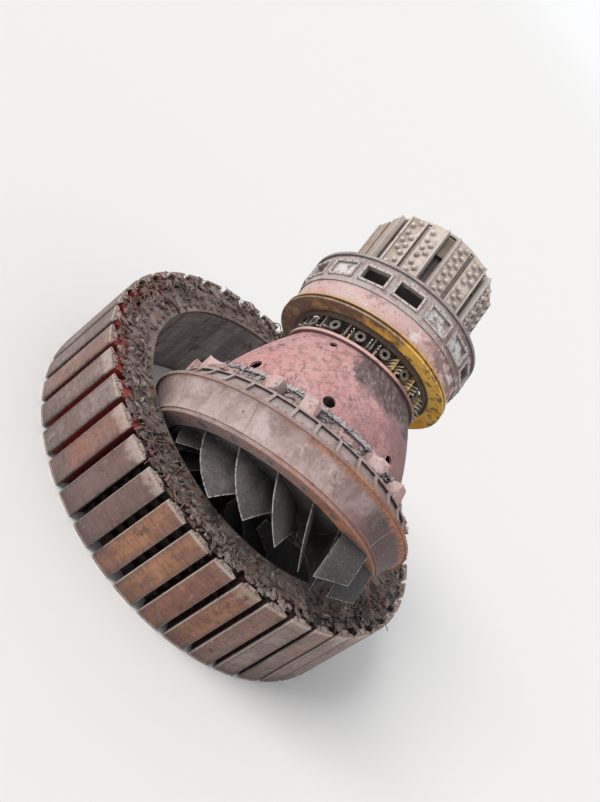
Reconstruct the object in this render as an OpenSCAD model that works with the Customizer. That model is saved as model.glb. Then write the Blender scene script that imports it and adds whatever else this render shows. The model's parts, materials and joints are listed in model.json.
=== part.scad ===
// Wreck of a vertical hydroelectric generating unit.
// The generator's pole ring lies flat, and the turbine cover, thrust cone, bearing housing
// and rotor hub lean inside it. The low edge of the cover stands on the ground and the cover
// rests against the upper inner edge of the ring.
// The ring's axis is +Z, its lower face is at Z = 0, and the assembly leans towards +Y.

/* [Pole ring] */
// Radius over the faces of the poles
ring_r = 5900; // [5600:10:6500]
// Height of the pole ring
ring_h = 2740; // [2450:10:3000]
// Number of poles
pole_n = 42; // [36:2:44]
// Depth of a pole from its face to the rim
pole_depth = 570; // [510:10:630]
// Radial width of the rim
rim_w = 830; // [740:10:920]
// Thickness of the plates that clamp the rim
clamp_t = 90; // [60:5:140]
// Number of segments in the upper clamp plate
clamp_n = 14; // [8:1:20]
// Width of a pole shoe across its face
shoe_w = 680; // [620:5:740]
// Thickness of a pole shoe at the core
shoe_t = 130; // [110:5:160]
// Thickness of a pole shoe at its tips
tip_t = 70; // [50:5:100]
// Chamfer along the tips of a pole shoe
tip_chamfer = 25; // [10:1:35]
// Width of a pole core
core_w = 380; // [330:5:420]
// Thickness of a field coil around the core
coil_t = 78; // [50:2:90]
// Distance between a field coil and the rim
coil_off_rim = 20; // [10:1:40]
// Distance between a field coil and the shoe
coil_off_shoe = 4; // [1:1:10]
// Thickness of the end plates on a pole
end_t = 60; // [40:5:80]
// Reach of a pole's end plate over the coil
end_reach = 70; // [40:5:100]
// Width of the neck of a pole's root
root_neck_w = 150; // [100:5:180]
// Width of the head of a pole's root
root_head_w = 270; // [220:5:310]
// Depth of a pole's root in the rim
root_d = 170; // [130:5:200]
// Radial thickness of the head of a pole's root
root_head_t = 85; // [60:5:100]
// Clearance of a pole's root in its slot
root_gap = 2; // [1:0.5:5]
// Number of key bars in the bore of the rim
key_n = 14; // [8:2:20]
// Width of a key bar
key_w = 220; // [150:10:300]
// Depth of a key bar's groove in the rim
key_d = 90; // [60:5:120]
// Distance of a key bar's face behind the bore
key_set_back = 12; // [5:1:30]
// Number of bolts in the lower clamp plate
base_bolt_n = 12; // [8:2:16]
// Radius of a bolt hole in the lower clamp plate
base_bolt_r = 45; // [30:1:60]
// Distance of the bolt circle inside the rim's outer face
base_bolt_inset = 350; // [300:10:400]
// Radial width of the brake track
brake_w = 260; // [180:10:300]
// Number of segments in the brake track
brake_n = 24; // [18:2:30]
// Angle of the joint between two segments
segment_gap = 0.25; // [0.1:0.05:0.5]

/* [Lean] */
// Angle of the turbine's axis from the ring's axis
lean = 50; // [44:1:55]
// Gap left where the cover rests on the ring and on the ground
seat_gap = 0.8; // [0.2:0.1:5]

/* [Turbine cover] */
// Radius of the lower edge of the cover
cover_r = 3520; // [3160:10:3880]
// Outward flare of the cover's band
band_flare = 440; // [380:10:500]
// Height of the cover's outer band
band_h = 850; // [750:10:950]
// Curve of the band's flare, where 1 is a straight flare
band_curve = 1.7; // [1:0.1:2.2]
// Height of the lip along the band's lower edge
lip_h = 110; // [80:5:150]
// Step between the lip and the band
lip_step = 35; // [20:1:50]
// Thickness of the cover's plates
cover_t = 60; // [40:5:80]
// Thickness of the flanges
flange_t = 80; // [60:5:110]
// Radial width of the lower ring
lower_ring_w = 480; // [450:10:540]
// Radial depth from the flange's edge to the pocket wall
pocket_d = 880; // [800:10:960]
// Height of the pocket wall
pocket_h = 910; // [820:10:1000]
// Number of ribs between the pockets
rib_n = 36; // [28:2:44]
// Thickness of a rib
rib_t = 80; // [60:5:100]
// Height of the ribs and of the sloping pocket covers
rib_h = 400; // [360:10:440]
// Distance of a rib's foot inside the flange's edge
rib_inset = 90; // [60:5:120]
// Depth of the sloping covers behind the edges of the ribs
panel_inset = 90; // [70:5:110]
// Distance of the ledge's edge inside the flange's edge
ledge_inset = 330; // [300:10:370]
// Thickness of a pocket's sloping cover
panel_t = 30; // [20:2:50]
// Thickness of the ledge over the pockets
ledge_t = 50; // [40:5:70]
// Number of guide vanes
vane_n = 20; // [16:2:24]
// Distance of the guide vane stems inside the cover's lower edge
vane_inset = 290; // [270:10:320]
// Height of a guide vane
vane_h = 1300; // [1100:10:1400]
// Chord of a guide vane
vane_chord = 900; // [800:10:950]
// Greatest thickness of a guide vane
vane_t = 120; // [80:5:150]
// Thickness of a guide vane's edges
vane_edge_t = 16; // [10:1:24]
// Angle of a guide vane from the radius
vane_turn = 62; // [55:1:70]
// Place of a guide vane's stem along its chord
vane_pivot = 0.42; // [0.35:0.01:0.5]
// Slope of a guide vane's lower edge
vane_slope = 24; // [15:1:30]
// Radius of a guide vane stem
stem_r = 130; // [100:5:145]
// Side of a guide vane's bearing block
block_w = 480; // [430:10:500]
// Height of a guide vane's bearing block
block_h = 420; // [380:10:450]
// Distance of a bearing block inside the ledge's edge
block_inset = 30; // [10:5:50]

/* [Runner] */
// Number of runner blades
blade_n = 16; // [13:1:18]
// Distance of the runner's edge inside the guide vane stems
runner_inset = 400; // [370:10:440]
// Height of the runner's crown over the cover's lower edge
crown_level = 100; // [60:10:140]
// Thickness of a runner blade
blade_t = 50; // [30:5:70]
// Depth of a runner blade below the crown
blade_h = 1400; // [1300:10:1450]
// Depth of a runner blade that is broken off
broken_blade_h = 500; // [450:10:550]
// Depth of the inner end of a runner blade below the crown
blade_in_h = 300; // [250:10:350]
// Inward curve of a runner blade's outer edge
blade_draw = 330; // [280:10:380]
// Bow of a runner blade's lower edge, where 1 is straight
blade_bow = 1.8; // [1:0.1:2.2]
// Inner radius of the blades as a distance from the shaft
blade_gap = 440; // [400:10:500]
// Sweep of a runner blade
blade_sweep = 46; // [35:1:55]
// Curl of a runner blade's sweep, where 1 is an even sweep
blade_curl = 1.4; // [1:0.1:1.6]
// Angle between a blade's thickness and the tangent
blade_lead = 30; // [24:1:36]
// Lean of a runner blade round the crown
blade_lean = 22; // [15:1:26]
// Height of the seal band round the runner's crown
runner_band_h = 240; // [200:10:280]
// Thickness of the seal band round the runner's crown
runner_band_t = 40; // [30:5:60]
// Thickness of the runner's crown at its edge
crown_edge_t = 110; // [80:5:140]
// Thickness of the runner's crown at the shaft
crown_t = 260; // [220:10:300]

/* [Thrust cone] */
// Distance of the cone's foot inside the pocket wall
cone_inset = 120; // [100:10:140]
// Inward taper of the cone
cone_taper = 1000; // [900:10:1100]
// Bulge of the cone, where 1 is a straight cone
cone_bulge = 1.4; // [1:0.05:1.6]
// Height of the cone
cone_h = 2350; // [2150:10:2550]
// Thickness of the cone's plate
cone_t = 70; // [50:5:80]
// Width of the cone's foot flange outside the cone
cone_foot_w = 190; // [150:10:230]
// Width of the flange inside the cone's foot
cone_foot_in_w = 160; // [120:10:200]
// Width of the cone's top flange outside the cone
cone_top_w = 110; // [80:10:140]
// Number of hand holes near the top of the cone
hand_hole_n = 4; // [3:1:6]
// Radius of a hand hole
hand_hole_r = 110; // [90:5:130]
// Height of the hand holes as a share of the cone
hand_hole_place = 0.88; // [0.84:0.01:0.92]
// Number of manholes near the foot of the cone
manhole_n = 8; // [8:1:10]
// Radius of a manhole
manhole_r = 170; // [150:5:190]
// Height of the manholes as a share of the cone
manhole_place = 0.13; // [0.12:0.01:0.16]
// Reach of a hatch over the edge of its manhole
hatch_edge = 60; // [40:5:65]
// Thickness of a hatch
hatch_t = 45; // [30:5:60]

/* [Bearing and housing] */
// Height of the gap with the pipe stubs
gap_h = 540; // [500:10:600]
// Distance of the bearing tank inside the cone's top
tank_inset = 240; // [210:10:270]
// Number of brackets under the yellow ring
bracket_n = 16; // [12:2:18]
// Thickness of a bracket
bracket_t = 40; // [30:5:50]
// Radius of a pipe stub
stub_r = 95; // [80:5:110]
// Wall of a pipe stub
stub_wall = 20; // [12:1:30]
// Length of a pipe stub
stub_l = 300; // [250:10:340]
// Radius of a pipe stub's flange
stub_flange_r = 150; // [130:5:170]
// Thickness of a pipe stub's flange
stub_flange_t = 45; // [30:5:60]
// Reach of the yellow ring outside the bearing tank
yellow_reach = 920; // [850:10:1000]
// Width of the yellow ring
yellow_w = 620; // [560:10:680]
// Thickness of the yellow ring
yellow_t = 180; // [160:10:200]
// Thickness of the yellow ring's plates
yellow_plate_t = 50; // [40:5:60]
// Depth of the channel round the yellow ring
yellow_channel = 90; // [70:5:110]
// Height of the lip inside the yellow ring
yellow_lip_h = 90; // [70:5:110]
// Thickness of the lip inside the yellow ring
yellow_lip_t = 60; // [40:5:80]
// Height of the plain ring under the windows
plain_h = 560; // [510:10:620]
// Distance of the plain ring inside the housing
plain_inset = 40; // [30:5:50]
// Distance of the housing inside the yellow ring
housing_inset = 40; // [30:5:50]
// Height of the housing with windows
window_ring_h = 900; // [820:10:980]
// Thickness of the housing's wall
housing_t = 90; // [70:5:110]
// Number of windows
window_n = 16; // [12:2:17]
// Width of a window
window_w = 720; // [650:10:780]
// Height of a window
window_h = 430; // [380:10:480]
// Width of the frame round a window
frame_w = 60; // [45:5:70]
// Thickness of the frame round a window
frame_t = 35; // [25:1:45]
// Overhang of the housing's top flange
top_over = 70; // [50:5:90]

/* [Shaft and hub] */
// Radius of the shaft
shaft_r = 780; // [710:10:850]
// Wall of the shaft
shaft_wall = 360; // [320:10:400]
// Distance from the shaft to the outside of the hub
hub_depth = 860; // [780:10:940]
// Height of the hub
hub_h = 2330; // [2100:10:2500]
// Number of bolting pads round the hub
pad_n = 8; // [6:1:9]
// Width of a bolting pad
pad_w = 1080; // [980:10:1160]
// Thickness of a bolting pad
pad_t = 240; // [200:10:280]
// Distance of a pad from the ends of the hub
pad_end = 60; // [40:5:80]
// Width of the groove in a bolting pad
groove_w = 150; // [100:10:180]
// Depth of the groove in a bolting pad
groove_d = 130; // [100:10:150]
// Width of the bars along the sides of a pad
pad_bar_w = 60; // [40:5:75]
// Height of the bars over the face of a pad
pad_bar_proud = 35; // [20:1:50]
// Overhang of the hub's top plate
hub_plate_over = 100; // [80:5:120]
// Number of bolt holes in the hub's top plate
top_bolt_n = 12; // [8:2:16]
// Radius of a bolt hole in the hub's top plate
top_bolt_r = 40; // [30:1:50]
// Distance of that bolt circle inside the outside of the hub
top_bolt_inset = 460; // [400:10:520]

/* [Hidden] */
$fn = 180;
eps = 1;
small_fn = 48;
fine_fn = 1440;

// Radii of the pole ring
rim_r = ring_r - pole_depth;
rim_bore_r = rim_r - rim_w;
shoe_in_r = ring_r - shoe_t;
tip_in_r = ring_r - tip_t;
brake_out_r = rim_bore_r + brake_w;
shoe_a = asin(shoe_w / 2 / ring_r);
rim_stack_h = ring_h - 2 * clamp_t;
pole_h = ring_h - 2 * end_t;
core_z = end_t + coil_t;
core_h = ring_h - 2 * core_z;
coil_w = core_w + 2 * coil_t;

// Radii of the turbine
flange_r = cover_r + band_flare;
vane_circle_r = cover_r - vane_inset;
lower_ring_r = cover_r - cover_t;
lower_bore_r = lower_ring_r - lower_ring_w;
pocket_r = flange_r - pocket_d;
rib_foot_r = flange_r - rib_inset;
ledge_r = flange_r - ledge_inset;
block_r = ledge_r - block_inset;
runner_r = vane_circle_r - runner_inset;
blade_in_r = shaft_r + blade_gap;
cone_foot_r = pocket_r - cone_inset;
cone_top_r = cone_foot_r - cone_taper;
cone_bore_r = cone_foot_r - cone_foot_in_w;
tank_r = cone_top_r - tank_inset;
yellow_r = tank_r + yellow_reach;
yellow_in_r = yellow_r - yellow_w;
housing_r = yellow_r - housing_inset;
plain_r = housing_r - plain_inset;
shaft_bore_r = shaft_r - shaft_wall;
hub_r = shaft_r + hub_depth;
top_bolt_circle_r = hub_r - top_bolt_inset;

// Levels along the turbine's axis, from the lower edge of the cover
z_crown = crown_level;
z_flange = band_h;
z_pocket = z_flange + flange_t;
z_ledge = z_pocket + rib_h;
z_block = z_ledge + ledge_t;
z_cone = z_pocket + pocket_h;
z_cone_foot = z_cone + flange_t;
z_cone_top = z_cone_foot + cone_h;
z_gap = z_cone_top + flange_t;
z_yellow = z_gap + gap_h;
z_plain = z_yellow + yellow_t;
z_window = z_plain + plain_h;
z_window_top = z_window + window_ring_h;
z_hub = z_window_top + flange_t;
z_hub_top = z_hub + hub_h;
window_z = (window_ring_h - window_h) / 2;

// Where the cover stands: on the ground, and against the ring's upper inner edge on both sides
rest_z = cover_r * sin(lean) + seat_gap;
rest_bore_r = rim_bore_r - seat_gap;
rest_y = max(touch_y(cover_r, 0), touch_y(flange_r, z_pocket));

// Where the axis stands when a circle of the turbine touches the ring's upper inner edge
function touch_y(r, h) =
    let (up = (rest_z + h * cos(lean) - ring_h) / sin(lean), half_w_2 = r * r - up * up)
    -up * cos(lean) - h * sin(lean) - sqrt(rest_bore_r * rest_bore_r - half_w_2);

// Guide vanes and runner blades that the ring or the ground would bar are broken off
clear_room = 60;
torn_vanes = [0, 14, 15, 16, 17, 18, 19];
function vane_a(i) = (i + 0.5) * 360 / vane_n - 90;
function above_ground(p, h) = rest_z - p[1] * sin(lean) + h * cos(lean);
function off_axis(p, h) = norm([p[0], rest_y + p[1] * cos(lean) + h * sin(lean)]);
function is_clear(p, h) = above_ground(p, h) > clear_room
    && (off_axis(p, h) < rim_bore_r - clear_room || above_ground(p, h) > ring_h + clear_room);
function vane_end(i, s) = vane_circle_r * [cos(vane_a(i)), sin(vane_a(i))]
    + vane_chord * s * [cos(vane_a(i) + vane_turn), sin(vane_a(i) + vane_turn)];
function vane_stays(i) = len(search(i, torn_vanes)) == 0
    && is_clear(vane_end(i, -vane_pivot), -vane_h)
    && is_clear(vane_end(i, 1 - vane_pivot), -vane_h);

// A runner blade sweeps back towards the shaft in a curve, and leans as it goes down
function blade_start(i) = i * 360 / blade_n - 90;
function blade_sweep_at(s) = blade_sweep * pow(1 - s, blade_curl);
function blade_at(s) = (blade_in_r + (runner_r + blade_t - blade_in_r) * s)
    * [cos(blade_sweep_at(s)), sin(blade_sweep_at(s))];
function blade_point(s, depth) = [blade_at(s)[0], blade_at(s)[1] / cos(blade_lean) + depth * tan(blade_lean)];
function turned(p, a) = [p[0] * cos(a) - p[1] * sin(a), p[0] * sin(a) + p[1] * cos(a)];

// Its outer edge is drawn in and its lower edge is bowed
function edge_r(depth) = runner_r - blade_draw * pow(depth / blade_h, 2);
function low_depth(s) = blade_in_h + (blade_h - blade_in_h) * pow(s, blade_bow);
function low_share(p) = max(0, min(1, (norm(p) - blade_in_r) / (edge_r(blade_h) - blade_in_r)));
function on_blade(p, depth) = norm(p) < edge_r(depth) && depth < low_depth(low_share(p));
function is_barred(i, s, depth) = let (p = blade_point(s, depth)) on_blade(p, depth - clear_room)
    && !is_clear(turned(p, blade_start(i)), crown_level - depth);
function blade_whole(i) = max([for (s = [0 : 0.02 : 1], share = [0.2 : 0.1 : 1])
    is_barred(i, s, share * blade_h) ? 1 : 0]) == 0;

// Bearing blocks that are gone, windows that are closed, and manholes whose hatches are shut
missing_blocks = [2, 5, 9, 12, 16, 19];
blanked_windows = [2, 6, 9, 12, 13];
shut_manholes = [0, 1, 2, 3, 7];

// A flat ring
module washer(r_out, r_in, h) {
    difference() {
        cylinder(r = r_out, h = h);
        translate([0, 0, -eps]) cylinder(r = r_in, h = h + 2 * eps);
    }
}

// A flat ring with a circle of holes, the first of them on +X
module drilled_washer(r_out, r_in, h, n, circle_r, hole_r) {
    difference() {
        washer(r_out, r_in, h);
        around(n) translate([circle_r, 0, -eps]) cylinder(r = hole_r, h = h + 2 * eps, $fn = small_fn);
    }
}

// Copies round the axis
module around(n) {
    for (i = [0 : n - 1]) rotate([0, 0, i * 360 / n]) children();
}

// Copies round the axis, the first of them on the side that lies uppermost
module round_vanes() {
    for (i = [0 : vane_n - 1]) rotate([0, 0, vane_a(i)]) children();
}

// An arc of a flat ring, centred on +X
module arc_block(r_out, r_in, a, h) {
    rotate([0, 0, -a / 2]) rotate_extrude(angle = a) translate([r_in, 0]) square([r_out - r_in, h]);
}

// A block from one radius to another, centred on +X
module radial_block(r_in, r_out, w, h) {
    translate([r_in, -w / 2, 0]) cube([r_out - r_in, w, h]);
}

// A plate that stands on the radius, with its outline given as radius and height
module radial_plate(t, outline) {
    translate([0, t / 2, 0]) rotate([90, 0, 0]) linear_extrude(t) polygon(outline);
}

// The turbine's own frame, leaning in the ring
module turbine(z = 0) {
    translate([0, rest_y, rest_z]) rotate([-lean, 0, 0]) translate([0, 0, z]) children();
}

// The root that holds a pole in the rim, or its slot when gap is the clearance
module pole_root(gap, h) {
    radial_block(rim_r - root_d + gap, rim_r + shoe_t, root_neck_w + 2 * gap, h);
    radial_block(rim_r - root_d - gap, rim_r - root_d + root_head_t + gap, root_head_w + 2 * gap, h);
}

module rim_stack() {
    color("#4b423d")
    translate([0, 0, clamp_t]) difference() {
        washer(rim_r, rim_bore_r, rim_stack_h, $fn = fine_fn);
        around(pole_n) translate([0, 0, -eps]) pole_root(root_gap, rim_stack_h + 2 * eps);
        around(key_n) translate([0, 0, -eps])
            radial_block(rim_bore_r - key_w, rim_bore_r + key_d, key_w, rim_stack_h + 2 * eps);
    }
}

module lower_clamp_plate() {
    color("#57493f")
    drilled_washer(rim_r, brake_out_r + root_gap, clamp_t, base_bolt_n, rim_r - base_bolt_inset, base_bolt_r);
}

module upper_clamp_plate() {
    color("#57493f")
    rotate([0, 0, 180 / clamp_n]) around(clamp_n) translate([0, 0, ring_h - clamp_t])
        arc_block(rim_r, rim_bore_r, 360 / clamp_n - segment_gap, clamp_t);
}

module brake_track() {
    color("#6b625a")
    around(brake_n) arc_block(brake_out_r, rim_bore_r, 360 / brake_n - segment_gap, clamp_t);
}

module rim_keys() {
    color("#5d5048")
    around(key_n) translate([0, 0, clamp_t])
        radial_block(rim_bore_r + key_set_back, rim_bore_r + key_d, key_w, rim_stack_h);
}

// A core sits on the rim's face and its root reaches into the slot
module pole_cores() {
    color("#6e4a3b")
    around(pole_n) translate([0, 0, core_z]) {
        difference() {
            radial_block(rim_r - coil_t, shoe_in_r, core_w, core_h);
            translate([0, 0, -eps]) cylinder(r = rim_r, h = core_h + 2 * eps);
        }
        intersection() {
            pole_root(0, core_h);
            radial_block(0, shoe_in_r, core_w, core_h);
        }
    }
}

// A shoe is thick over the core and thinner at its chamfered tips
function at(r, a) = r * [cos(a), sin(a)];

module pole_shoe_outline() {
    steps = 8;
    chamfer_r = ring_r - tip_chamfer;
    face_a = shoe_a - asin(tip_chamfer / ring_r);
    polygon(concat(
        [[shoe_in_r, -core_w / 2], at(tip_in_r, -shoe_a), at(chamfer_r, -shoe_a)],
        [for (i = [0 : steps]) at(ring_r, face_a * (2 * i / steps - 1))],
        [at(chamfer_r, shoe_a), at(tip_in_r, shoe_a), [shoe_in_r, core_w / 2]]));
}

module pole_shoes() {
    color("#8a5a48")
    around(pole_n) translate([0, 0, end_t]) linear_extrude(pole_h) pole_shoe_outline();
}

module pole_coils() {
    color("#7d3a2c")
    around(pole_n) translate([0, 0, end_t]) difference() {
        radial_block(rim_r + coil_off_rim, shoe_in_r - coil_off_shoe, coil_w, pole_h);
        translate([0, 0, coil_t]) radial_block(rim_r - eps, shoe_in_r + eps, core_w, core_h);
    }
}

module pole_end_plates() {
    color("#a08a78")
    around(pole_n) for (z = [0, ring_h - end_t]) translate([0, 0, z]) linear_extrude(end_t) {
        pole_shoe_outline();
        translate([shoe_in_r - end_reach, -core_w / 2]) square([end_reach + eps, core_w]);
    }
}

// The outer band has a lip along its lower edge and flares in a hollow curve to the flange
function band_at(s) = [cover_r + lip_step + (band_flare - lip_step - cover_t) * pow(s, band_curve),
    lip_h + (band_h - lip_h) * s];

module cover_band() {
    steps = 8;
    color("#a58a7d")
    turbine() rotate_extrude() polygon(concat(
        [[cover_r - cover_t, 0], [cover_r, 0], [cover_r, lip_h]],
        [for (i = [0 : steps]) band_at(i / steps)],
        [for (i = [steps : -1 : 0]) band_at(i / steps) - [cover_t + lip_step, 0]]));
}

module cover_lower_ring() {
    color("#6a5d55")
    turbine() difference() {
        washer(lower_ring_r, lower_bore_r, flange_t);
        round_vanes() translate([vane_circle_r, 0, -eps])
            cylinder(r = stem_r, h = flange_t + 2 * eps, $fn = small_fn);
    }
}

module cover_flange() {
    color("#94755f")
    turbine(z_flange) difference() {
        washer(flange_r, pocket_r - cover_t, flange_t);
        round_vanes() translate([vane_circle_r, 0, -eps])
            cylinder(r = stem_r, h = flange_t + 2 * eps, $fn = small_fn);
    }
}

module pocket_wall() {
    color("#8f7b72")
    turbine(z_pocket) washer(pocket_r, pocket_r - cover_t, pocket_h);
}

module cover_ribs() {
    color("#9a8177")
    turbine(z_pocket) around(rib_n)
        radial_plate(rib_t, [[pocket_r, 0], [rib_foot_r, 0], [ledge_r, rib_h], [pocket_r, rib_h]]);
}

// Sloping covers close the pockets between the ribs
module pocket_covers() {
    color("#a98f84")
    turbine(z_pocket) difference() {
        rotate_extrude() polygon([[rib_foot_r - panel_inset - panel_t, 0], [rib_foot_r - panel_inset, 0],
            [ledge_r - panel_inset, rib_h], [ledge_r - panel_inset - panel_t, rib_h]]);
        around(rib_n) translate([0, 0, -eps]) radial_block(pocket_r, flange_r, rib_t, rib_h + 2 * eps);
    }
}

module pocket_ledge() {
    color("#9c8479")
    turbine(z_ledge) washer(ledge_r, pocket_r, ledge_t);
}

module bearing_blocks() {
    color("#b98a80")
    turbine(z_block) for (i = [0 : vane_n - 1]) if (len(search(i, missing_blocks)) == 0)
        rotate([0, 0, vane_a(i)]) radial_block(block_r - block_w, block_r, block_w, block_h);
}

module vane_stems() {
    color("#8d8680")
    turbine() round_vanes() translate([vane_circle_r, 0, 0])
        cylinder(r = stem_r, h = z_pocket, $fn = small_fn);
}

// Half the thickness of a guide vane along its chord, from the greatest value of sqrt(s) * (1 - s)
vane_peak = 0.385;
function vane_half(s) = (vane_edge_t + (vane_t - vane_edge_t) * sqrt(s) * (1 - s) / vane_peak) / 2;

module vane_outline() {
    steps = 14;
    polygon(concat(
        [for (i = [0 : steps]) [vane_chord * (i / steps - vane_pivot), vane_half(i / steps)]],
        [for (i = [steps : -1 : 0]) [vane_chord * (i / steps - vane_pivot), -vane_half(i / steps)]]));
}

// A guide vane's lower edge rises towards its thin trailing edge
module guide_vane() {
    difference() {
        translate([0, 0, -vane_h]) linear_extrude(vane_h) vane_outline();
        translate([-vane_pivot * vane_chord, 0, -vane_h]) rotate([0, -vane_slope, 0])
            translate([0, -vane_t, -vane_h]) cube([2 * vane_chord, 2 * vane_t, vane_h]);
    }
}

module guide_vanes() {
    color("#8b8f92")
    turbine() for (i = [0 : vane_n - 1]) if (vane_stays(i)) rotate([0, 0, vane_a(i)])
        translate([vane_circle_r, 0, 0]) rotate([0, 0, vane_turn]) guide_vane();
}

module runner_crown() {
    color("#77716b")
    turbine(z_crown) rotate_extrude() polygon([[shaft_r, 0], [runner_r, 0],
        [runner_r, crown_edge_t], [shaft_r, crown_t]]);
}

module blade_outline() {
    steps = 12;
    polygon(concat(
        [for (i = [0 : steps]) blade_at(i / steps)],
        [for (i = [steps : -1 : 0]) let (a = blade_sweep_at(i / steps) + blade_lead)
            blade_at(i / steps) + blade_t * [sin(a), -cos(a)]]));
}

// The room that a blade fills below the crown, with a drawn-in outer edge and a bowed lower edge
module blade_room(depth) {
    steps = 8;
    share = depth / blade_h;
    rotate_extrude() polygon(concat(
        [[blade_in_r, 0]],
        [for (i = [0 : steps]) [edge_r(depth * i / steps), -depth * i / steps]],
        [for (i = [steps - 1 : -1 : 0])
            [blade_in_r + (edge_r(depth) - blade_in_r) * i / steps, -share * low_depth(i / steps)]]));
}

module runner_blades() {
    color("#8a8580")
    turbine(z_crown) for (i = [0 : blade_n - 1]) rotate([0, 0, blade_start(i)]) intersection() {
        rotate([blade_lean, 0, 0]) linear_extrude(3 * blade_h, center = true) blade_outline();
        blade_room(blade_whole(i) ? blade_h : broken_blade_h);
    }
}

module runner_band() {
    color("#77716b")
    turbine(z_crown) washer(runner_r + runner_band_t, runner_r, runner_band_h);
}

module cone_foot_flange() {
    color("#a9857b")
    turbine(z_cone) washer(cone_foot_r + cone_foot_w, cone_bore_r, flange_t);
}

// The cone is narrower towards its top, in a bulging curve
cone_steps = 8;
function cone_r(s) = cone_foot_r - cone_taper * pow(s, cone_bulge);
function cone_slope(s0, s1) = atan((cone_r(s0) - cone_r(s1)) / cone_h / (s1 - s0));
function cone_line(in) = [for (i = [0 : cone_steps]) [cone_r(i / cone_steps) - in, cone_h * i / cone_steps]];
function reversed(line) = [for (i = [len(line) - 1 : -1 : 0]) line[i]];

// A place on the cone's outside, half a step round from +X, with +Z pointing out of the cone
module on_cone(n, place) {
    step = 1 / cone_steps;
    rotate([0, 0, 180 / n]) translate([cone_r(place), 0, cone_h * place])
        rotate([0, 90 - cone_slope(place - step, place + step), 0]) children();
}

module thrust_cone() {
    color("#c08880")
    turbine(z_cone_foot) difference() {
        rotate_extrude() polygon(concat(cone_line(0), reversed(cone_line(cone_t))));
        around(hand_hole_n) on_cone(hand_hole_n, hand_hole_place)
            cylinder(r = hand_hole_r, h = 6 * cone_t, center = true, $fn = small_fn);
        around(manhole_n) on_cone(manhole_n, manhole_place)
            cylinder(r = manhole_r, h = 6 * cone_t, center = true, $fn = small_fn);
    }
}

// Round hatches lie on the cone over the manholes that are shut
module cone_hatches() {
    color("#8d7d76")
    turbine(z_cone_foot) for (i = shut_manholes) difference() {
        rotate([0, 0, i * 360 / manhole_n]) on_cone(manhole_n, manhole_place)
            translate([0, 0, -3 * hatch_t])
            cylinder(r = manhole_r + hatch_edge, h = 4 * hatch_t, $fn = small_fn);
        rotate_extrude() polygon(concat([[0, 0]], cone_line(0), [[0, cone_h]]));
    }
}

module cone_top_flange() {
    color("#a9857b")
    turbine(z_cone_top) washer(cone_top_r + cone_top_w, tank_r - cover_t, flange_t);
}

module bearing_tank() {
    color("#6f6158")
    turbine(z_gap) washer(tank_r, tank_r - cover_t, gap_h + yellow_t);
}

// A flanged pipe stub stands out of the tank between each two brackets
module pipe_stubs() {
    stub_end = tank_r + stub_l;
    color("#8a7a66")
    turbine(z_gap) rotate([0, 0, 180 / bracket_n]) around(bracket_n) difference() {
        translate([0, 0, gap_h / 2]) rotate([0, 90, 0]) union() {
            cylinder(r = stub_r, h = stub_end, $fn = small_fn);
            translate([0, 0, stub_end - stub_flange_t])
                cylinder(r = stub_flange_r, h = stub_flange_t, $fn = small_fn);
        }
        translate([tank_r + stub_wall, 0, gap_h / 2]) rotate([0, 90, 0])
            cylinder(r = stub_r - stub_wall, h = stub_l, $fn = small_fn);
        cylinder(r = tank_r, h = gap_h);
    }
}

// A bracket reaches from the tank to the lip inside the yellow ring
module ring_brackets() {
    color("#83705f")
    turbine(z_gap) around(bracket_n) difference() {
        intersection() {
            radial_plate(bracket_t, [[tank_r - bracket_t, 0], [(tank_r + yellow_in_r) / 2, 0],
                [yellow_r, gap_h], [tank_r - bracket_t, gap_h]]);
            cylinder(r = yellow_in_r, h = gap_h);
        }
        translate([0, 0, -eps]) cylinder(r = tank_r, h = gap_h + 2 * eps);
    }
}

// The yellow ring is a channel open to the outside, with a lip round its inner edge
module yellow_ring() {
    lip_r = yellow_in_r + yellow_lip_t;
    web_r = yellow_r - yellow_channel;
    color("#b8923a")
    turbine(z_yellow) rotate_extrude() polygon([
        [yellow_in_r, -yellow_lip_h], [lip_r, -yellow_lip_h], [lip_r, 0],
        [yellow_r, 0], [yellow_r, yellow_plate_t], [web_r, yellow_plate_t],
        [web_r, yellow_t - yellow_plate_t], [yellow_r, yellow_t - yellow_plate_t],
        [yellow_r, yellow_t], [yellow_in_r, yellow_t]]);
}

module plain_ring() {
    color("#b08a80")
    turbine(z_plain) washer(plain_r, plain_r - housing_t, plain_h);
}

module window_ring() {
    color("#a18c84")
    turbine(z_window) difference() {
        washer(housing_r, plain_r - housing_t, window_ring_h);
        around(window_n) translate([0, 0, window_z])
            radial_block(plain_r - 3 * housing_t, housing_r + housing_t, window_w, window_h);
    }
}

// A frame round each window, cut to the round of the wall
module window_frames() {
    outer_w = window_w + 2 * frame_w;
    outer_h = window_h + 2 * frame_w;
    color("#b3a39a")
    turbine(z_window + window_z - frame_w) around(window_n) difference() {
        radial_block(housing_r - 3 * frame_w, housing_r + frame_t, outer_w, outer_h);
        translate([0, 0, frame_w])
            radial_block(housing_r - 4 * frame_w, housing_r + frame_w, window_w, window_h);
        translate([0, 0, -eps]) cylinder(r = housing_r, h = window_ring_h);
    }
}

// Plates that close some of the windows
module window_covers() {
    color("#c9c1b8")
    turbine(z_window + window_z) for (i = blanked_windows) rotate([0, 0, i * 360 / window_n])
        radial_block(housing_r - housing_t, housing_r - housing_t / 2, window_w, window_h);
}

module window_top_flange() {
    color("#b3a79c")
    turbine(z_window_top) washer(housing_r + top_over, shaft_r, flange_t);
}

module shaft() {
    color("#8e877f")
    turbine(z_crown) washer(shaft_r, shaft_bore_r, z_hub_top - z_crown);
}

module hub_core() {
    color("#4a4039")
    turbine(z_hub) washer(hub_r, shaft_r, hub_h);
}

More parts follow.
